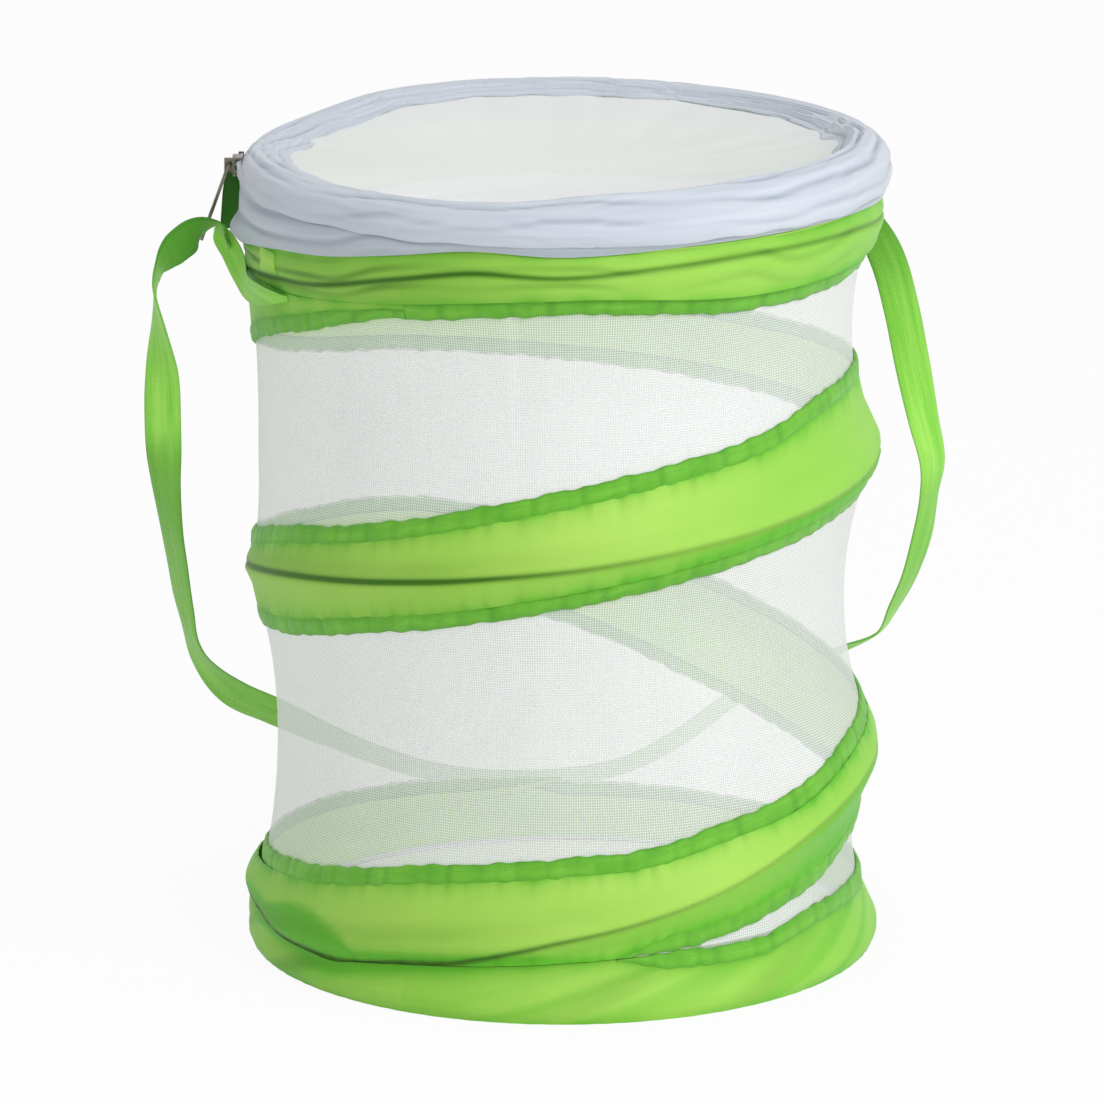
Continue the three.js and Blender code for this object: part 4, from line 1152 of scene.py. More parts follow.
helix_casing = cloth_strip(
    "helix_casing_cloth", 0, HELIX_END, 1.2 * STRIP_STEP, helix_band_bottom, helix_band_top,
    crease_rows(helix_crease_height, helix_band_bottom, helix_band_top),
    helix_casing_radius, thin(CLOTH_HALF), helix_crease, edge=0.6, tint_and_shade=helix_tint_and_shade,
)
finish_piece(helix_casing, CASING, "base", "casing_cloth", "helix_band")

helix_lining = lining_piece(
    "helix_casing_lining", HELIX_END, helix_band_bottom, helix_band_top,
    "base", "helix_lining", "helix_wire", closed=False,
)

bottom_casing = cloth_strip(
    "bottom_casing_cloth", 0, FULL_TURN, STRIP_STEP, level(0.0), bottom_band_top, even_rows(19),
    casing_radius(31, depth=0.15), thin(CLOTH_HALF), bottom_crease, closed=True, edge=0.3,
    tint_and_shade=bottom_tint_and_shade,
)
finish_piece(bottom_casing, CASING, "base", "casing_cloth", "bottom_band")

lining_piece(
    "bottom_casing_lining", FULL_TURN, level(BOTTOM_LINING_BOTTOM), bottom_band_top,
    "base", "bottom_lining", "bottom_ring_wire",
)


# Bindings: soft tapes folded over the casings' edges, gathered a little along their length
BINDING_LAP = 1.0


def binding_piece(name, start, end, low, high, seed, body, node, casing_above=True):
    """A binding: a flattened round tape that laps over its casing and waves at its free edge."""
    gather = [(8.5, 0.12), (12.0, 0.14), (19.0, 0.12)]
    sway = [(11.0, 0.22), (17.0, 0.25), (42.0, 0.3)]

    def size(turn):
        # One at full width, and less where the binding tapers
        return np.clip((high(turn) - low(turn)) / BINDING_WIDTH, 0, 1)

    def lower_edge(turn):
        # It waves where it is free, and laps over the casing where it is sewn
        wave = ripple(turn, sway, seed + 50, False)
        return low(turn) + size(turn) * (wave if casing_above else -BINDING_LAP)

    def upper_edge(turn):
        # The same for the other edge
        wave = ripple(turn, sway, seed + 60, False)
        return high(turn) + size(turn) * (BINDING_LAP if casing_above else wave)

    def radius(turn, height, share):
        # Just outside the wall, puckered by the gathers
        pucker = ripple(turn, gather, seed, False) * (0.7 + 0.3 * np.cos(3 * np.pi * share))
        return skin_radius(turn, height) + 0.7 + pucker

    def half(turn, share):
        # Thin at its edges and full between them, as a flattened round
        return 0.35 + 0.95 * np.clip(1 - (2 * share - 1) ** 2, 0, 1) ** 0.6 + 0 * turn

    def crease(turn, height, share):
        # Painted shade in the gathers' valleys, along the seam and at the sewn edge
        valley = np.clip(-2.2 * ripple(turn, gather, seed, False), 0, 1)
        free = share if casing_above else 1 - share
        seam = hump(free, 0.86, 0.05)
        return np.clip(0.4 * valley + 0.35 * seam + 0.3 * (1 - free) ** 8, 0, 1)

    piece = cloth_strip(
        name, start, end, STRIP_STEP, lower_edge, upper_edge, even_rows(11), radius, half, crease
    )
    return finish_piece(piece, BINDING, body, "binding_cloth", node)


binding_piece(
    "top_edge_binding", TOP_BINDING_START, FULL_TURN - 0.15, top_binding_bottom, top_band_bottom,
    101, "top", "top_binding",
)
helix_upper_edge = binding_piece(
    "helix_upper_edge_binding", TOP_BINDING_START, HELIX_END, helix_band_top, helix_upper,
    111, "base", "helix_upper_binding", casing_above=False,
)
helix_lower_edge = binding_piece(
    "helix_lower_edge_binding", 0, LOWER_BINDING_END, helix_lower, helix_band_bottom,
    121, "base", "helix_lower_binding",
)
binding_piece(
    "bottom_edge_binding", BOTTOM_BINDING_START, FULL_TURN + LOWER_BINDING_END,
    lambda turn: bottom_binding_top(turn) - bottom_binding_height(turn), bottom_binding_top,
    131, "base", "bottom_binding", casing_above=False,
)
for casing, end, low, high, wire, bindings in (
    (top_casing, FULL_TURN, top_band_bottom, top_band_top, "top_ring_wire", ["top_edge_binding"]),
    (
        helix_casing, HELIX_END, helix_band_bottom, helix_band_top, "helix_wire",
        ["helix_upper_edge_binding", "helix_lower_edge_binding"],
    ),
    (
        bottom_casing, FULL_TURN, level(0.0), bottom_band_top, "bottom_ring_wire",
        ["bottom_edge_binding"],
    ),
):
    sewn_sheet(casing, 0, end, low, high, "stretched", wire, bindings)


# Nets: single sheets, whose holes are in the material
def grid_sheet(name, points, cloth_map):
    """A single sheet from a grid of points that runs along it first and across it second."""
    count, across = points.shape[:2]
    i, k = np.meshgrid(np.arange(count - 1), np.arange(across - 1), indexing="ij")
    corner = (i * across + k).ravel()
    faces = np.stack([corner, corner + across, corner + across + 1, corner + 1], axis=1)
    maps = cloth_map.reshape(-1, 2)[faces]
    return build_mesh(name, points.reshape(-1, 3), faces, maps, sharp=0.0)


def wall_netting():
    """The spiral wall: its radius is the skin's, with faint folds pulled along it."""
    turn = np.arange(WALL_START, WALL_END, 1.0)[:, None]
    share = np.linspace(0, 1, 15)[None, :]
    low, high = wall_bottom(turn), wall_top(turn)
    height = low + (high - low) * share
    pull = ripple(turn, [(60.0, 0.3), (110.0, 0.4)], 201, False) * 4 * share * (1 - share)
    points = polar(turn, skin_radius(turn, height) - 0.2 + pull, height)
    arc = np.broadcast_to(np.radians(turn) * RING_RADIUS, height.shape)
    piece = grid_sheet("wall_netting", points, np.stack([arc, height], axis=-1) * MM)
    finish_piece(piece, WALL_NET, "base", "net", "wall_net")
    return piece


wall = wall_netting()


def disc_sheet(name, radius, height, rings, spokes):
    """A round sheet: rings of points round a middle one, at height(turn, radius)."""
    turn = np.linspace(0, FULL_TURN, spokes, endpoint=False)[:, None]
    r = radius * np.linspace(0, 1, rings + 1)[None, 1:]
    ring_points = polar(turn, r, height(turn, r)).reshape(-1, 3)
    middle = np.array([[0.0, 0.0, float(height(np.zeros((1, 1)), np.zeros((1, 1)))[0, 0])]])
    points = np.concatenate([middle, ring_points]) * MM
    i, k = np.meshgrid(np.arange(spokes), np.arange(rings - 1), indexing="ij")
    near, far = 1 + i * rings + k, 1 + ((i + 1) % spokes) * rings + k
    quads = np.stack([near, near + 1, far + 1, far], axis=-1).reshape(-1, 4)
    first = np.arange(spokes)
    fan = np.stack([0 * first, 1 + first * rings, 1 + ((first + 1) % spokes) * rings], axis=1)
    faces = quads[:, ::-1].tolist() + fan[:, ::-1].tolist()
    mesh = bpy.data.meshes.new(name)
    mesh.from_pydata(points.tolist(), [], faces)
    layer = mesh.uv_layers.new(name="cloth_map")
    corners = np.empty(len(mesh.loops), np.int32)
    mesh.loops.foreach_get("vertex_index", corners)
    layer.data.foreach_set("uv", points[corners][:, :2].astype(np.float32).ravel())
    mesh.shade_smooth()
    piece = bpy.data.objects.new(name, mesh)
    bpy.context.scene.collection.objects.link(piece)
    return piece


# Lid and rim: white cloth that laps over the zip and rolls over the rim, and the net in it.
# The rim's cloth by its share from the flap's edge to the net: its radius, its height above
# the rim and how much of the hem's ridge it has.
RIM_RADIUS = [
    (0, 155.0), (0.07, 156.0), (0.14, 156.0), (0.21, 155.0), (0.28, 153.2), (0.36, 150.2),
    (0.46, 146.4), (0.58, 141.8), (0.72, 136.8), (0.86, 132.6), (1, 128.6),
]
RIM_HEIGHT = [
    (0, -15.2), (0.07, -12.2), (0.14, -8.6), (0.21, -5.0), (0.28, -2.2), (0.36, -0.3),
    (0.46, 0.5), (0.58, 0.2), (0.72, -1.4), (0.86, -3.0), (1, -4.2),
]
RIM_RIDGE = [
    (0, 0), (0.25, 0), (0.36, 0.2), (0.5, 0.75), (0.62, 1), (0.76, 0.85), (0.9, 0.35), (1, 0.1)
]
RIM_SPLIT = 0.34
RIM_OVERLAP = 0.01
RIM_HALF = 0.35
FLAP_SHARE = 0.2

# The length of cloth from the flap's edge to the net, for the weave's map
RIM_REACH = 55.0

# Beside the strap's left end the flap is drawn in, and the tape under the zip rolls out
ROLL_TURN = 53.0
ROLL_RUN = 12.0
ROLL_HEIGHT = 352.8
ROLL_RISE = 4.6
ROLL_LIFT = 6.0
FLAP_DRAWN_IN = 3.2


def fold_wave(phase):
    """A rounded ridge with a narrower valley."""
    return (np.sin(phase) + 0.35 * np.sin(2 * phase + 0.9)) / 1.2


def rim_surface(turn, share):
    """The white cloth from its flap over the rim to the net: radius, height and fold."""
    lifted = FLAP_SHARE * (1 - smooth(FLAP_DROP, wrap(turn, -180.0)))
    place = share + lifted * np.clip(1 - share / RIM_SPLIT, 0, 1)
    radius = smooth(RIM_RADIUS, place)
    raised = smooth(HEM_RIDGE, wrap(turn, -180.0)) * smooth(RIM_RIDGE, place)
    sway = ripple(turn, [(190.0, 0.35), (330.0, 0.45)], 301)
    folded = 0.6 + 0.4 * ripple(turn, [(240.0, 0.7), (150.0, 0.5)], 303)
    held = np.sin(np.pi * np.clip(share, 0, 1)) ** 0.7
    fold = 1.1 * folded * fold_wave(2 * np.pi * (4.4 * place + 0.5 * sway)) * held
    fine = ripple(turn, [(150.0, 0.35), (270.0, 0.4)], 307)
    fold = fold + 0.22 * np.sin(2 * np.pi * (9.0 * place + 1.1 * fine)) * held
    edge = 1.6 * ripple(turn, [(48.0, 0.5), (85.0, 0.7), (31.0, 0.25)], 305) * share**4
    hanging = 0.8 * ripple(turn, [(37.0, 0.5), (71.0, 0.7)], 309) * (1 - share) ** 8
    wide = 0.5 + 0.5 * np.tanh((place - 0.3) * 8)
    height = rim_height(turn) + smooth(RIM_HEIGHT, place) + raised + fold * wide + hanging
    drawn_in = FLAP_DRAWN_IN * hump(wrap(turn, -180.0), ROLL_TURN + 4, 17.0)
    drawn_in = drawn_in * np.clip(1 - share / 0.5, 0, 1) ** 0.5
    return radius - drawn_in + 0.75 * fold * (1 - wide) - edge, height, fold


def unit(vectors):
    """Vectors scaled to a length of one."""
    return vectors / np.maximum(np.linalg.norm(vectors, axis=-1, keepdims=True), 1e-9)


def fold_with_lid(piece, material, slot, *nodes):
    """Gives a piece its material, hides the imported parts that it stands for and moves its placement
    into its mesh; slot is not used.
    """
    piece.data.materials.append(material)
    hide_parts(*nodes)
    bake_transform(piece)


def rim_strip(name, first, last, rows, *nodes):
    """The rim's cloth between two shares, given its thickness along its own normals."""
    turns = np.linspace(0, FULL_TURN, 721)
    turn = turns[:-1][:, None]
    share = np.linspace(first, last, rows)[None, :]
    radius, height, fold = rim_surface(turn, share)
    middle = polar(turn, radius, height)
    along = np.roll(middle, -1, axis=0) - np.roll(middle, 1, axis=0)
    across = np.gradient(middle, axis=1)
    normal = unit(np.cross(across, along))
    normal = normal * np.sign((normal * polar(turn, 1.0, 0.6)).sum(-1, keepdims=True))
    # Painted shade in the valleys of the folds
    marks = {"crease": np.clip(-0.62 * fold - 0.05, 0, 0.85), "edge": 0 * fold}
    arc = np.broadcast_to(np.radians(turns[:, None]) * RING_RADIUS, (len(turns), rows))
    reach = np.broadcast_to(share * RIM_REACH, (len(turns), rows))
    thick = RIM_HALF * normal
    cloth_map = np.stack([arc, reach], axis=-1) * MM
    piece = shell(name, middle + thick, middle - thick, cloth_map, marks, closed=True)
    fold_with_lid(piece, WHITE, "white_cloth", *nodes)


rim_strip("rim_tape_cloth", 0.0, RIM_SPLIT, 23, "zip_tape_upper", "zip_tape_rear")
rim_strip("lid_hem_cloth", RIM_SPLIT - RIM_OVERLAP, 1.0, 41, "lid_hem", "lid_rear_hem")

# The lid's net: its radius, its sag, the hem's share where it is held and how far below the hem,
# and how far below the cage's height its edge would lie without the hem's waves
LID_NET_RADIUS = 132.5
LID_NET_SAG = 9.5
LID_NET_HELD = 0.86
LID_NET_BELOW = 0.9
LID_NET_LEVEL = 3.9


def lid_height(turn, radius):
    """The lid's net: held under the hem at its edge, sagging to its middle in soft waves."""
    share = radius / LID_NET_RADIUS
    held = rim_surface(turn, LID_NET_HELD + 0 * turn)[1] - LID_NET_BELOW
    level_edge = CAGE_HEIGHT - LID_NET_LEVEL
    edge = level_edge + (held - level_edge) * share**3
    gather = ripple(turn, [(55.0, 0.5), (90.0, 0.6), (34.0, 0.3)], 311) * share**4 * (1 - share) * 5
    spot = polar(turn, radius, 0.0)
    soft = np.sin(spot[..., 1] / 17.0 + 1.3 * np.sin(spot[..., 0] / 45.0) + 0.4)
    return edge - LID_NET_SAG * (1 - share**2) + gather + 0.8 * soft * (1 - share**2)


lid_net = disc_sheet("lid_netting", LID_NET_RADIUS, lid_height, 48, 240)
fold_with_lid(lid_net, LID_NET, "net", "lid_net", "lid_rear_net")


def floor_height(turn, radius):
    """The floor's net: flat, with five low waves that grow outward."""
    return 0.5 + 0.2 * (1 + np.sin(np.radians(5 * turn))) * (radius / RING_RADIUS) + 0 * turn


FLOOR_RADIUS = 147.0
floor_net = disc_sheet("floor_netting", FLOOR_RADIUS, floor_height, 20, 120)
finish_piece(floor_net, FLOOR_NET, "base", "net", "floor_panel")

FLOOR_HEM_RADIUS = 146.0
FLOOR_HEM_LOW = 1.3
FLOOR_HEM_HIGH = 2.9


def floor_hem_radius(turn, height, share):
    """The floor's hem is gathered a little along its length."""
    return FLOOR_HEM_RADIUS + 0.2 * ripple(turn, [(12.0, 0.6), (20.0, 0.6)], 321) + 0 * share


def floor_hem_half(turn, share):
    """The hem's half thickness: rounded like a flattened cord."""
    return 0.6 + 0.8 * np.sqrt(np.clip(1 - (2 * share - 1) ** 2, 0, 1)) + 0 * turn


floor_hem = cloth_strip(
    "floor_hem_cloth", 0, FULL_TURN, 1.5, level(FLOOR_HEM_LOW), level(FLOOR_HEM_HIGH), even_rows(5),
    floor_hem_radius, floor_hem_half, closed=True,
)
finish_piece(floor_hem, WHITE, "base", "white_cloth", "floor_hem")


# Zip: the lower tape, the coil's teeth, the slider, its pull and the end tab
TAPE_TOP = 379.4
TAPE_RADIUS = 151.6
TAPE_LEAN = 0.7
TAPE_TUCK = 0.6
TAPE_SAG = 20


def tape_fold(turn, share):
    """Folds that run round the tape under the zip, deeper where the casing droops."""
    sag = np.clip(droop(turn), 0, TAPE_SAG)
    sway = ripple(turn, [(210.0, 0.4), (340.0, 0.5)], 401)
    strength = (0.25 + 0.03 * sag) * (1 + 0.5 * ripple(turn, [(170.0, 0.6), (260.0, 0.5)], 403))
    phase = 2 * np.pi * ((1.2 + 0.07 * sag) * share + 0.6 * sway)
    return strength * fold_wave(phase) * np.sin(np.pi * share)


def lower_tape_radius(turn, height, share):
    """The tape under the zip bulges out a little between its two seams."""
    beside_end = hump(turn, ROLL_TURN + 3, 16.0)
    sag = np.clip(droop(turn), 0, TAPE_SAG)
    bulge = (1.2 + 0.2 * sag * (1 - beside_end)) * np.sin(np.pi * share)
    roll = ROLL_LIFT * hump(turn, ROLL_TURN, ROLL_RUN) * hump(height, ROLL_HEIGHT, ROLL_RISE)
    fold = tape_fold(turn, share) * (1 - 0.7 * beside_end)
    return TAPE_RADIUS + TAPE_LEAN * share + bulge + roll + fold


def lower_tape_crease(turn, height, share):
    """Painted shade on the tape: a little all over, and more in the valleys of its folds."""
    return np.clip(0.36 - 0.5 * tape_fold(turn, share), 0, 1)


def lower_tape_foot(turn):
    """The tape's lower edge, a little below the casing's upper edge."""
    return top_band_top(turn) - TAPE_TUCK


lower_tape = cloth_strip(
    "zip_lower_tape_cloth", 0, FULL_TURN, STRIP_STEP * 1.5, lower_tape_foot, level(TAPE_TOP),
    even_rows(21), lower_tape_radius, thin(CLOTH_HALF), lower_tape_crease, closed=True,
)
finish_piece(lower_tape, WHITE, "top", "white_cloth", "zip_tape_lower")
sewn_sheet(
    lower_tape, 0, FULL_TURN, lower_tape_foot, level(TAPE_TOP), "gathered", "top_casing_cloth"
)

# The coil: its pitch, a turn's share of it, how far a turn narrows outward, and its radii
TOOTH_PITCH = 1.5
TOOTH_SHARE = 0.62
TOOTH_TIP = 0.6
TOOTH_INSET = 0.35
TEETH_INNER = 152.6
TEETH_OUTER = 154.7


def teeth_row(name, start, end, low, high, lag, body, node):
    """A row of coil turns: blocks that narrow outward, one every pitch along the rim."""
    pitch = np.degrees(TOOTH_PITCH / TEETH_INNER)
    turns = np.arange(start + pitch * (0.5 + lag), end - pitch / 2, pitch)
    wide = pitch * TOOTH_SHARE / 2
    foot = np.array([-wide, wide, wide, -wide])
    corner_turn = np.concatenate([foot, TOOTH_TIP * foot])
    corner_radius = np.array([TEETH_INNER] * 4 + [TEETH_OUTER] * 4)
    inset = TOOTH_INSET * np.array([1, 1, -1, -1])
    side = np.array([low, low, high, high])
    corner_height = np.concatenate([side, side + inset])
    points = polar(turns[:, None] + corner_turn, corner_radius, corner_height).reshape(-1, 3)
    block = np.array(
        [[0, 1, 2, 3], [4, 7, 6, 5], [0, 4, 5, 1], [1, 5, 6, 2], [2, 6, 7, 3], [3, 7, 4, 0]]
    )
    faces = (8 * np.arange(len(turns))[:, None, None] + block).reshape(-1, 4)
    piece = build_mesh(name, points, faces, sharp=30.0)
    return finish_piece(piece, COIL, body, "zip_coil", node)


# The rows' heights, and the turns of the zip's two ends and of its two crossings of the lid's
# fold, where the upper row stops short on both sides
LOWER_TEETH = (377.1, 380.3)
UPPER_TEETH = (379.7, 382.9)
ZIP_RIGHT = -175
ZIP_LEFT = 65
FOLD_RIGHT = -165
FOLD_LEFT = 55
FOLD_GAP = 0.25
for name, start, end, heights, lag, body, node in (
    ("zip_lower_coil", ZIP_RIGHT, ZIP_LEFT, LOWER_TEETH, 0.0, "top", "zip_teeth_lower"),
    (
        "zip_upper_coil", FOLD_RIGHT + FOLD_GAP, FOLD_LEFT - FOLD_GAP, UPPER_TEETH, 0.5, "lid",
        "zip_teeth_upper",
    ),
    (
        "zip_rear_left_coil", FOLD_LEFT + FOLD_GAP, ZIP_LEFT, UPPER_TEETH, 0.5, "top",
        "zip_teeth_rear_left",
    ),
    (
        "zip_rear_right_coil", ZIP_RIGHT, FOLD_RIGHT - FOLD_GAP, UPPER_TEETH, 0.5, "top",
        "zip_teeth_rear_right",
    ),
):
    teeth_row(name, start, end, *heights, lag, body, node)


def rounded_copy(node, name, edge, body):
    """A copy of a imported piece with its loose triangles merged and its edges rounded."""
    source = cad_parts[node]
    mesh = bpy.data.meshes.new(name)
    work = bmesh.new()
    work.from_mesh(source.data)
    bmesh.ops.remove_doubles(work, verts=work.verts, dist=1e-6)
    bmesh.ops.dissolve_limit(
        work, angle_limit=np.radians(1.0), verts=work.verts, edges=work.edges
    )
    work.to_mesh(mesh)
    work.free()
    mesh.shade_smooth()
    piece = bpy.data.objects.new(name, mesh)
    bpy.context.scene.collection.objects.link(piece)
    bevel = piece.modifiers.new("rounded edges", "BEVEL")
    bevel.width = edge * MM
    bevel.segments = 2
    bevel.limit_method = "ANGLE"
    bevel.angle_limit = np.radians(35.0)
    bevel.harden_normals = True
    return finish_piece(piece, ZIP_METAL, body, "zip_metal", node)


SLIDER_EDGE = 0.35
PULL_EDGE = 0.4
rounded_copy("zip_slider", "zip_slider_body", SLIDER_EDGE, "slider")
rounded_copy("zip_pull", "zip_pull_plate", PULL_EDGE, "pull")


def sweep(name, middle, wide, thick, half_width, half_thick, crown=0.0, shade=0.0):
    """Webbing along a line: a flat, softly rounded outline carried on its width direction."""
    half_width = np.broadcast_to(half_width, len(middle))[:, None]
    angle = np.linspace(0, 2 * np.pi, 24, endpoint=False)
    across = np.sign(np.cos(angle)) * np.abs(np.cos(angle)) ** 0.35
    through = np.sign(np.sin(angle)) * np.abs(np.sin(angle)) ** 0.8
    arch = crown * (1 - across**2)
    points = (
        middle[:, None]
        + wide[:, None] * (half_width * across)[:, :, None]
        + thick[:, None] * (half_thick * through + arch)[None, :, None]
    )
    count = len(angle)
    half = count // 2
    steps = np.linalg.norm(np.diff(middle, axis=0), axis=1)
    run = np.concatenate([[0], np.cumsum(steps)])
    order = np.arange(half + 1)
    outer = points[:, order[:-1]]
    inner = points[:, (-order[:-1] - 1) % count]
    place = half_width * (1 - across[order[:-1]])
    cloth_map = np.stack(np.broadcast_arrays(run[:, None], place), axis=-1) * MM
    # The crease mark: darker towards the edges, and painted shade from the shade given along the line
    rolled = np.abs(across[order[:-1]])[None, :] ** 12 * 0.4
    rolled = np.clip(rolled + np.broadcast_to(shade, len(middle))[:, None], 0, 1)
    return shell(name, outer, inner, cloth_map, {"crease": rolled, "edge": 0 * rolled}, sharp=70.0)


# End tab: a ribbon folded double that hangs from the rim at the zip's end and turns as it
# hangs. Its middle line by radius, way towards the front and height, then how far its width
# has turned from along the rim to outward, in degrees.
TAB_TURN = 68.6
TAB_PATH = [
    (151.6, -0.6, 374.5, 0), (153.6, -0.4, 376.6, 10), (156.0, 0.4, 375.0, 32),
    (157.2, 1.6, 369.5, 54), (158.0, 2.4, 362.5, 68), (158.6, 2.5, 354.0, 74),
    (159.2, 2.0, 346.5, 76), (159.4, 0.2, 343.4, 76), (159.2, -1.6, 346.5, 76),
    (158.6, -2.2, 354.0, 72), (157.8, -2.0, 363.0, 66), (156.6, -1.6, 370.0, 58),
]
TAB_HALF_WIDTH = 6.0
TAB_HALF_THICK = 0.5
TAB_CROWN = 0.9


def through_points(points, steps):
    """A smooth line through points: three-point slopes with centripetal spacing."""
    points = np.asarray(points, float)
    padded = np.concatenate([[2 * points[0] - points[1]], points, [2 * points[-1] - points[-2]]])
    gaps = np.sqrt(np.linalg.norm(np.diff(padded, axis=0), axis=1))
    place = np.linspace(0, len(points) - 1, steps)
    k = np.minimum(place.astype(int), len(points) - 2)
    x = (place - k)[:, None]
    before, start, end, after = (padded[k + shift] for shift in range(4))
    g0, g1, g2 = (gaps[k + shift][:, None] for shift in range(3))
    leave = g1 * ((start - before) / g0 - (end - before) / (g0 + g1) + (end - start) / g1)
    arrive = g1 * ((end - start) / g1 - (after - start) / (g1 + g2) + (after - end) / g2)
    rise = x * x * (3 - 2 * x)
    line = start * (1 - rise) + end * rise + leave * x * (1 - x) ** 2 - arrive * x * x * (1 - x)
    return line, place


def tab_piece():
    """The tab's ribbon, its width turned about its line by the path's last column."""
    path = np.array(TAB_PATH)
    line, place = through_points(path[:, :3], 110)
    turned = np.radians(np.interp(place, np.arange(len(path)), path[:, 3]))[:, None]
    angle = np.radians(TURN_START_ANGLE - TAB_TURN)
    out = np.array([np.cos(angle), np.sin(angle), 0.0])
    front = np.array([-np.sin(angle), np.cos(angle), 0.0])
    up = np.array([0.0, 0.0, 1.0])
    middle = line[:, :1] * out + line[:, 1:2] * front + line[:, 2:] * up
    along = unit(np.gradient(middle, axis=0))
    wide = np.cos(turned) * front + np.sin(turned) * out
    wide = unit(wide - (wide * along).sum(1, keepdims=True) * along)
    piece = sweep(
        "zip_end_tab_cloth", middle, wide, np.cross(along, wide), TAB_HALF_WIDTH, TAB_HALF_THICK,
        TAB_CROWN,
    )
    return finish_piece(piece, TAB_CLOTH, "top", "tab_cloth", "zip_end_tab")


tab_piece()

# Strap: its middle line as shares of the ring's radius and the cage's height, from its fold on
# the left round behind the cage to its patch on the right. Its twist in degrees, its width as a
# share and how shaded it is are by the place along that line.
STRAP_ROUTE = np.array([
    [-1.009, 0.337, 0.88], [-1.015, 0.369, 0.895], [-1.047, 0.341, 0.909], [-1.079, 0.327, 0.91],
    [-1.122, 0.31, 0.908], [-1.169, 0.295, 0.901], [-1.216, 0.28, 0.892], [-1.25, 0.274, 0.881],
    [-1.274, 0.27, 0.868], [-1.283, 0.271, 0.853], [-1.283, 0.275, 0.837], [-1.272, 0.284, 0.812],
    [-1.259, 0.3, 0.781], [-1.243, 0.329, 0.738], [-1.233, 0.354, 0.693], [-1.219, 0.385, 0.643],
    [-1.202, 0.413, 0.591], [-1.16, 0.475, 0.528], [-1.112, 0.542, 0.471], [-1.064, 0.606, 0.411],
    [-1.019, 0.652, 0.361], [-0.942, 0.719, 0.315], [-0.81, 0.8, 0.264], [-0.623, 0.899, 0.22],
    [-0.403, 0.996, 0.17], [-0.197, 1.079, 0.127], [-0.002, 1.101, 0.094], [0.224, 1.098, 0.071],
    [0.451, 1.02, 0.07], [0.636, 0.902, 0.088], [0.78, 0.785, 0.128], [0.909, 0.623, 0.192],
    [1.009, 0.385, 0.252], [1.108, 0.174, 0.297], [1.188, 0.085, 0.324], [1.222, 0.039, 0.362],
    [1.254, 0.003, 0.402], [1.28, -0.026, 0.452], [1.296, -0.044, 0.507], [1.301, -0.057, 0.55],
    [1.259, -0.067, 0.612], [1.217, -0.067, 0.684], [1.175, -0.064, 0.758], [1.129, -0.053, 0.82],
])
STRAP_TWIST = [
    (0, -162), (1, -162), (2, -158), (3, -142), (4, -120), (5, -106), (6, -114), (7, -138),
    (8, -162), (9, -172), (10, -184), (11, -197), (12, -215), (13, -244), (14, -264), (15, -262),
    (16, -238), (17, -222), (18, -217), (19, -213), (20, -205), (21, -224), (22, -253), (23, -252),
    (24, -240), (25, -233), (27, -228), (29, -224), (31, -222), (32, -212), (33, -206), (34, -194),
    (35, -205), (36, -211), (37, -217), (38, -214), (39, -226), (40, -240), (41, -260), (42, -266),
    (43, -272), (43.6, -305), (44, -335),
]
STRAP_NARROW = [(0, 0.5), (1, 0.55), (2, 0.6), (4, 0.95), (5, 1), (44, 1)]
STRAP_SHADE = [
    (0, 0.3), (2.5, 0.5), (4, 0.85), (7, 0.75), (8.5, 0.3), (10, 0), (14.5, 0), (15.5, 0.45), (19, 0.35),
    (21, 0.2), (23, 0), (34, 0), (35, 0.25), (38, 0.25), (39, 0), (42, 0.15), (43, 0.5), (44, 0.5),
]
STRAP_LEVEL_WAY = (0.423, 0.906, 0.0)
STRAP_HALF_WIDTH = 8.7
STRAP_HALF_THICK = 0.7
STRAP_CROWN = 0.35
STRAP_END_RADIUS = 155.0
STRAP_SEATS = (351.0, 361.0)


def strap_piece():
    """Webbing that twists along a line, from its fold on the left to straight on its right patch.

    Its width starts from one level way, squared to the line, and turns about it by the twist.
    """
    free = STRAP_ROUTE * np.array([RING_RADIUS, RING_RADIUS, CAGE_HEIGHT])
    right_end = [[STRAP_END_RADIUS, 0.0, z] for z in STRAP_SEATS]
    line, place = through_points(np.concatenate([free, right_end[:1]]), 680)
    upright = np.array([[0.0, 0.0, 1.0]])
    along = np.concatenate([unit(np.gradient(line, axis=0))[:-1], upright, upright])
    middle = np.concatenate([line, right_end[1:]])
    place = np.append(place, place[-1])
    twist = np.radians(smooth(STRAP_TWIST, place))[:, None]
    way = np.array([STRAP_LEVEL_WAY])
    way = unit(way - (way * along).sum(1, keepdims=True) * along)
    wide = np.cos(twist) * way + np.sin(twist) * np.cross(along, way)
    half_width = STRAP_HALF_WIDTH * smooth(STRAP_NARROW, place)
    piece = sweep(
        "strap_webbing_piece", middle, wide, unit(np.cross(along, wide)), half_width,
        STRAP_HALF_THICK, STRAP_CROWN, smooth(STRAP_SHADE, place),
    )
    return finish_piece(piece, WEBBING, "strap", "strap_webbing", "strap")


strap = strap_piece()

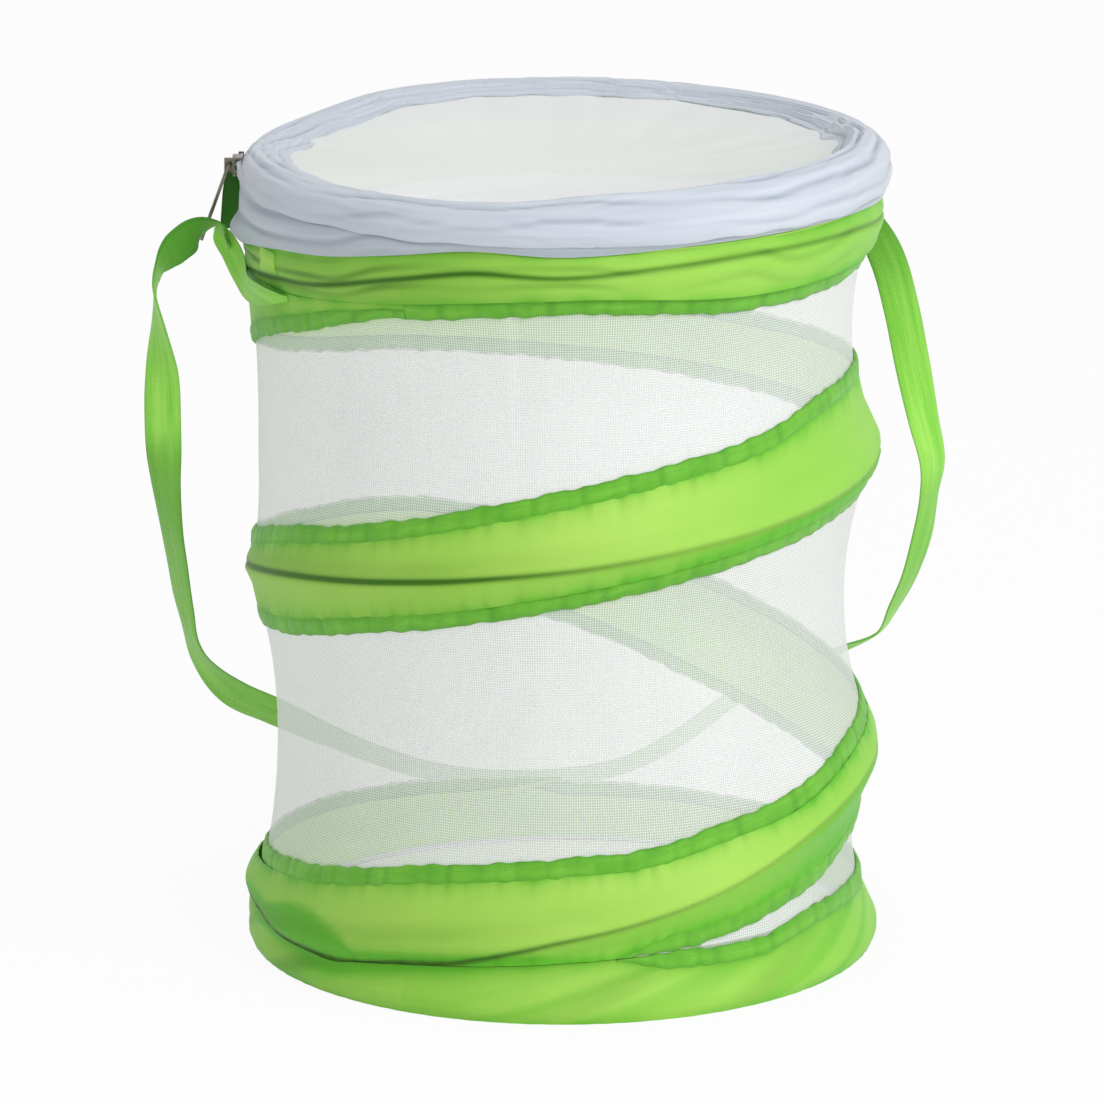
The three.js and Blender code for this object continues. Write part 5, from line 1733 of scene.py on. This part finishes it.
# The strap's left end, which moves with it. Its rows are the turn, the radius, the height and
# how far it faces towards the front, in degrees.
STRAP_TAIL_PATH = [
    (55.6, 163.6, 353.0, 50), (55.0, 162.0, 348.0, 50), (53.0, 158.2, 341.9, 48),
    (50.5, 155.2, 334.4, 40), (46.0, 154.3, 329.6, 22), (38.5, 153.7, 329.8, 6),
    (33.5, 152.4, 331.2, 0), (30.0, 149.0, 332.0, 0),
]
STRAP_TAIL_HALF_WIDTH = 6.3
STRAP_TAIL_HALF_THICK = 0.6
STRAP_TAIL_CROWN = -0.9
STRAP_TAIL_NARROW = [(0, 0.5), (1, 0.95), (4, 1), (5, 0.85), (6, 0.55), (7, 0.25)]


def strap_tail():
    """A strip from the strap's fold down a slanting line, its end tucked into the casing."""
    path = np.array(STRAP_TAIL_PATH)
    corners = polar(path[:, 0], path[:, 1], path[:, 2])
    middle, place = through_points(corners, 60)
    turn = np.interp(place, np.arange(len(path)), path[:, 0] - path[:, 3])
    along = unit(np.gradient(middle, axis=0))
    facing = polar(turn, 1.0, 0.0)
    wide = unit(np.cross(facing, along))
    half_width = STRAP_TAIL_HALF_WIDTH * smooth(STRAP_TAIL_NARROW, place)
    piece = sweep(
        "strap_tail_webbing", middle, wide, np.cross(along, wide), half_width,
        STRAP_TAIL_HALF_THICK, STRAP_TAIL_CROWN,
    )
    return finish_piece(piece, WEBBING, "strap", "strap_webbing", "strap")


def on_top_casing(turn, height):
    """The radius of a cloth on the top casing: the casing's own and a cloth's thickness."""
    low, high = top_band_bottom(turn), top_band_top(turn)
    share = np.clip((height - low) / (high - low), 0, 1)
    return top_casing_radius(turn, height, share) + 2 * CLOTH_HALF


PATCH_CLEAR_RADIUS = 156.2
PATCH_CROWN = 0.5
PATCH_STEP = 0.4


def over_tape(turn, height):
    """The radius of a cloth that clears the zip's tape: the same everywhere."""
    return PATCH_CLEAR_RADIUS + 0 * (turn + height)


def sewn_patch(name, middle_turn, half_width, low, high, base, material, slot, node):
    """A sewn patch: a level strip on base(turn, height), softly crowned between its edges."""
    half_turn = np.degrees(half_width / RING_RADIUS)

    def radius(turn, height, share):
        # The base, and a crown that falls off steeply at all four edges
        across = (turn - middle_turn) / half_turn
        crown = np.clip(1 - np.abs(across) ** 6, 0, 1)
        crown = crown * np.clip(1 - np.abs(2 * share - 1) ** 6, 0, 1)
        return base(turn, height) + PATCH_CROWN * crown

    span = (middle_turn - half_turn, middle_turn + half_turn)
    piece = cloth_strip(
        name, *span, PATCH_STEP, level(low), level(high), even_rows(15), radius, thin(CLOTH_HALF),
        edge=0.5,
    )
    sewn_sheet(piece, *span, level(low), level(high), "laid", "top_casing_cloth")
    return finish_piece(piece, material, "top", slot, node)


tail = strap_tail()

# The patches' turns, half widths and heights, and the surfaces that they lie on
LEFT_PATCH = (35.0, 8.0, 343.0, 353.5, on_top_casing)
RIGHT_PATCH = (215.0, 11.0, 346.0, 368.0, over_tape)
sewn_patch("strap_patch_left_cloth", *LEFT_PATCH, CASING, "casing_cloth", "strap_patch_left")
sewn_patch("strap_patch_right_cloth", *RIGHT_PATCH, WEBBING, "strap_webbing", "strap_patch_right")

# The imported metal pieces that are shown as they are
STEEL_NODES = ("top_ring_wire", "bottom_ring_wire", "helix_wire", "top_ferrule", "bottom_ferrule")
STOP_NODES = ("zip_stop_left", "zip_stop_right")
for nodes, finish in ((STEEL_NODES, SPRING_STEEL), (STOP_NODES, ZIP_METAL)):
    for node in nodes:
        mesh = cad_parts[node].data
        mesh.materials.clear()
        mesh.materials.append(finish)

# The spiral's pieces, the helix wire and the strap's pieces each get a mesh of their own
spiral = (helix_casing, helix_lining, helix_upper_edge, helix_lower_edge, wall)
for piece in (*spiral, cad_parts["helix_wire"]):
    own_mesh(piece)
for piece in (strap, tail):
    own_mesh(piece)

# Floor, light and background
FLOOR_SIZE = 40.0
FLOOR_WHITE = 0.95
FLOOR_GLOW = 0.92
FLOOR_DROP = 0.0002

floor_mesh = bpy.data.meshes.new("studio_floor")
half = FLOOR_SIZE / 2
floor_mesh.from_pydata(
    [(-half, -half, 0), (half, -half, 0), (half, half, 0), (-half, half, 0)], [], [(0, 1, 2, 3)]
)
floor = bpy.data.objects.new("studio_floor", floor_mesh)
floor.location.z = -FLOOR_DROP
bpy.context.scene.collection.objects.link(floor)
floor_material, floor_tree, floor_shader = new_material("studio floor")
floor_shader.inputs["Base Color"].default_value = (FLOOR_WHITE, FLOOR_WHITE, FLOOR_WHITE, 1)
floor_shader.inputs["Roughness"].default_value = 0.9
floor_shader.inputs["Specular IOR Level"].default_value = 0.0
white_floor = add(floor_tree, "ShaderNodeEmission", {"Color": (1, 1, 1, 1), "Strength": 1.0})
glow = maths(floor_tree, "MULTIPLY", seen_rays(floor_tree), FLOOR_GLOW)
floor_look = add(
    floor_tree,
    "ShaderNodeMixShader",
    {0: glow, 1: floor_shader.outputs[0], 2: white_floor.outputs[0]},
)
floor_output = next(node for node in floor_tree.nodes if node.type == "OUTPUT_MATERIAL")
floor_tree.links.new(floor_look.outputs[0], floor_output.inputs["Surface"])
floor_mesh.materials.append(floor_material)

AMBIENT = 0.62
world = bpy.data.worlds.new("studio")
world.use_nodes = True
world_tree = world.node_tree
world_tree.nodes.clear()
strength = add(
    world_tree, "ShaderNodeMapRange", {"Value": seen_rays(world_tree), "To Min": AMBIENT, "To Max": 1.0}
).outputs["Result"]
background = add(world_tree, "ShaderNodeBackground", {"Color": (1, 1, 1, 1), "Strength": strength})
add(world_tree, "ShaderNodeOutputWorld", {"Surface": background.outputs[0]})
bpy.context.scene.world = world


def soft_lamp(name, place, size, power):
    """A round lamp that faces the cage's middle."""
    data = bpy.data.lights.new(name, "AREA")
    data.shape = "DISK"
    data.size = size
    data.energy = power
    lamp = bpy.data.objects.new(name, data)
    bpy.context.scene.collection.objects.link(lamp)
    aim(lamp, place, CAMERA_AIM)


LAMP_PLACE = (1.0, -2.8, 2.3)
LAMP_SIZE = 2.0
LAMP_POWER = 62.0
soft_lamp("key_light", LAMP_PLACE, LAMP_SIZE, LAMP_POWER)

bpy.context.scene.view_settings.view_transform = "Standard"
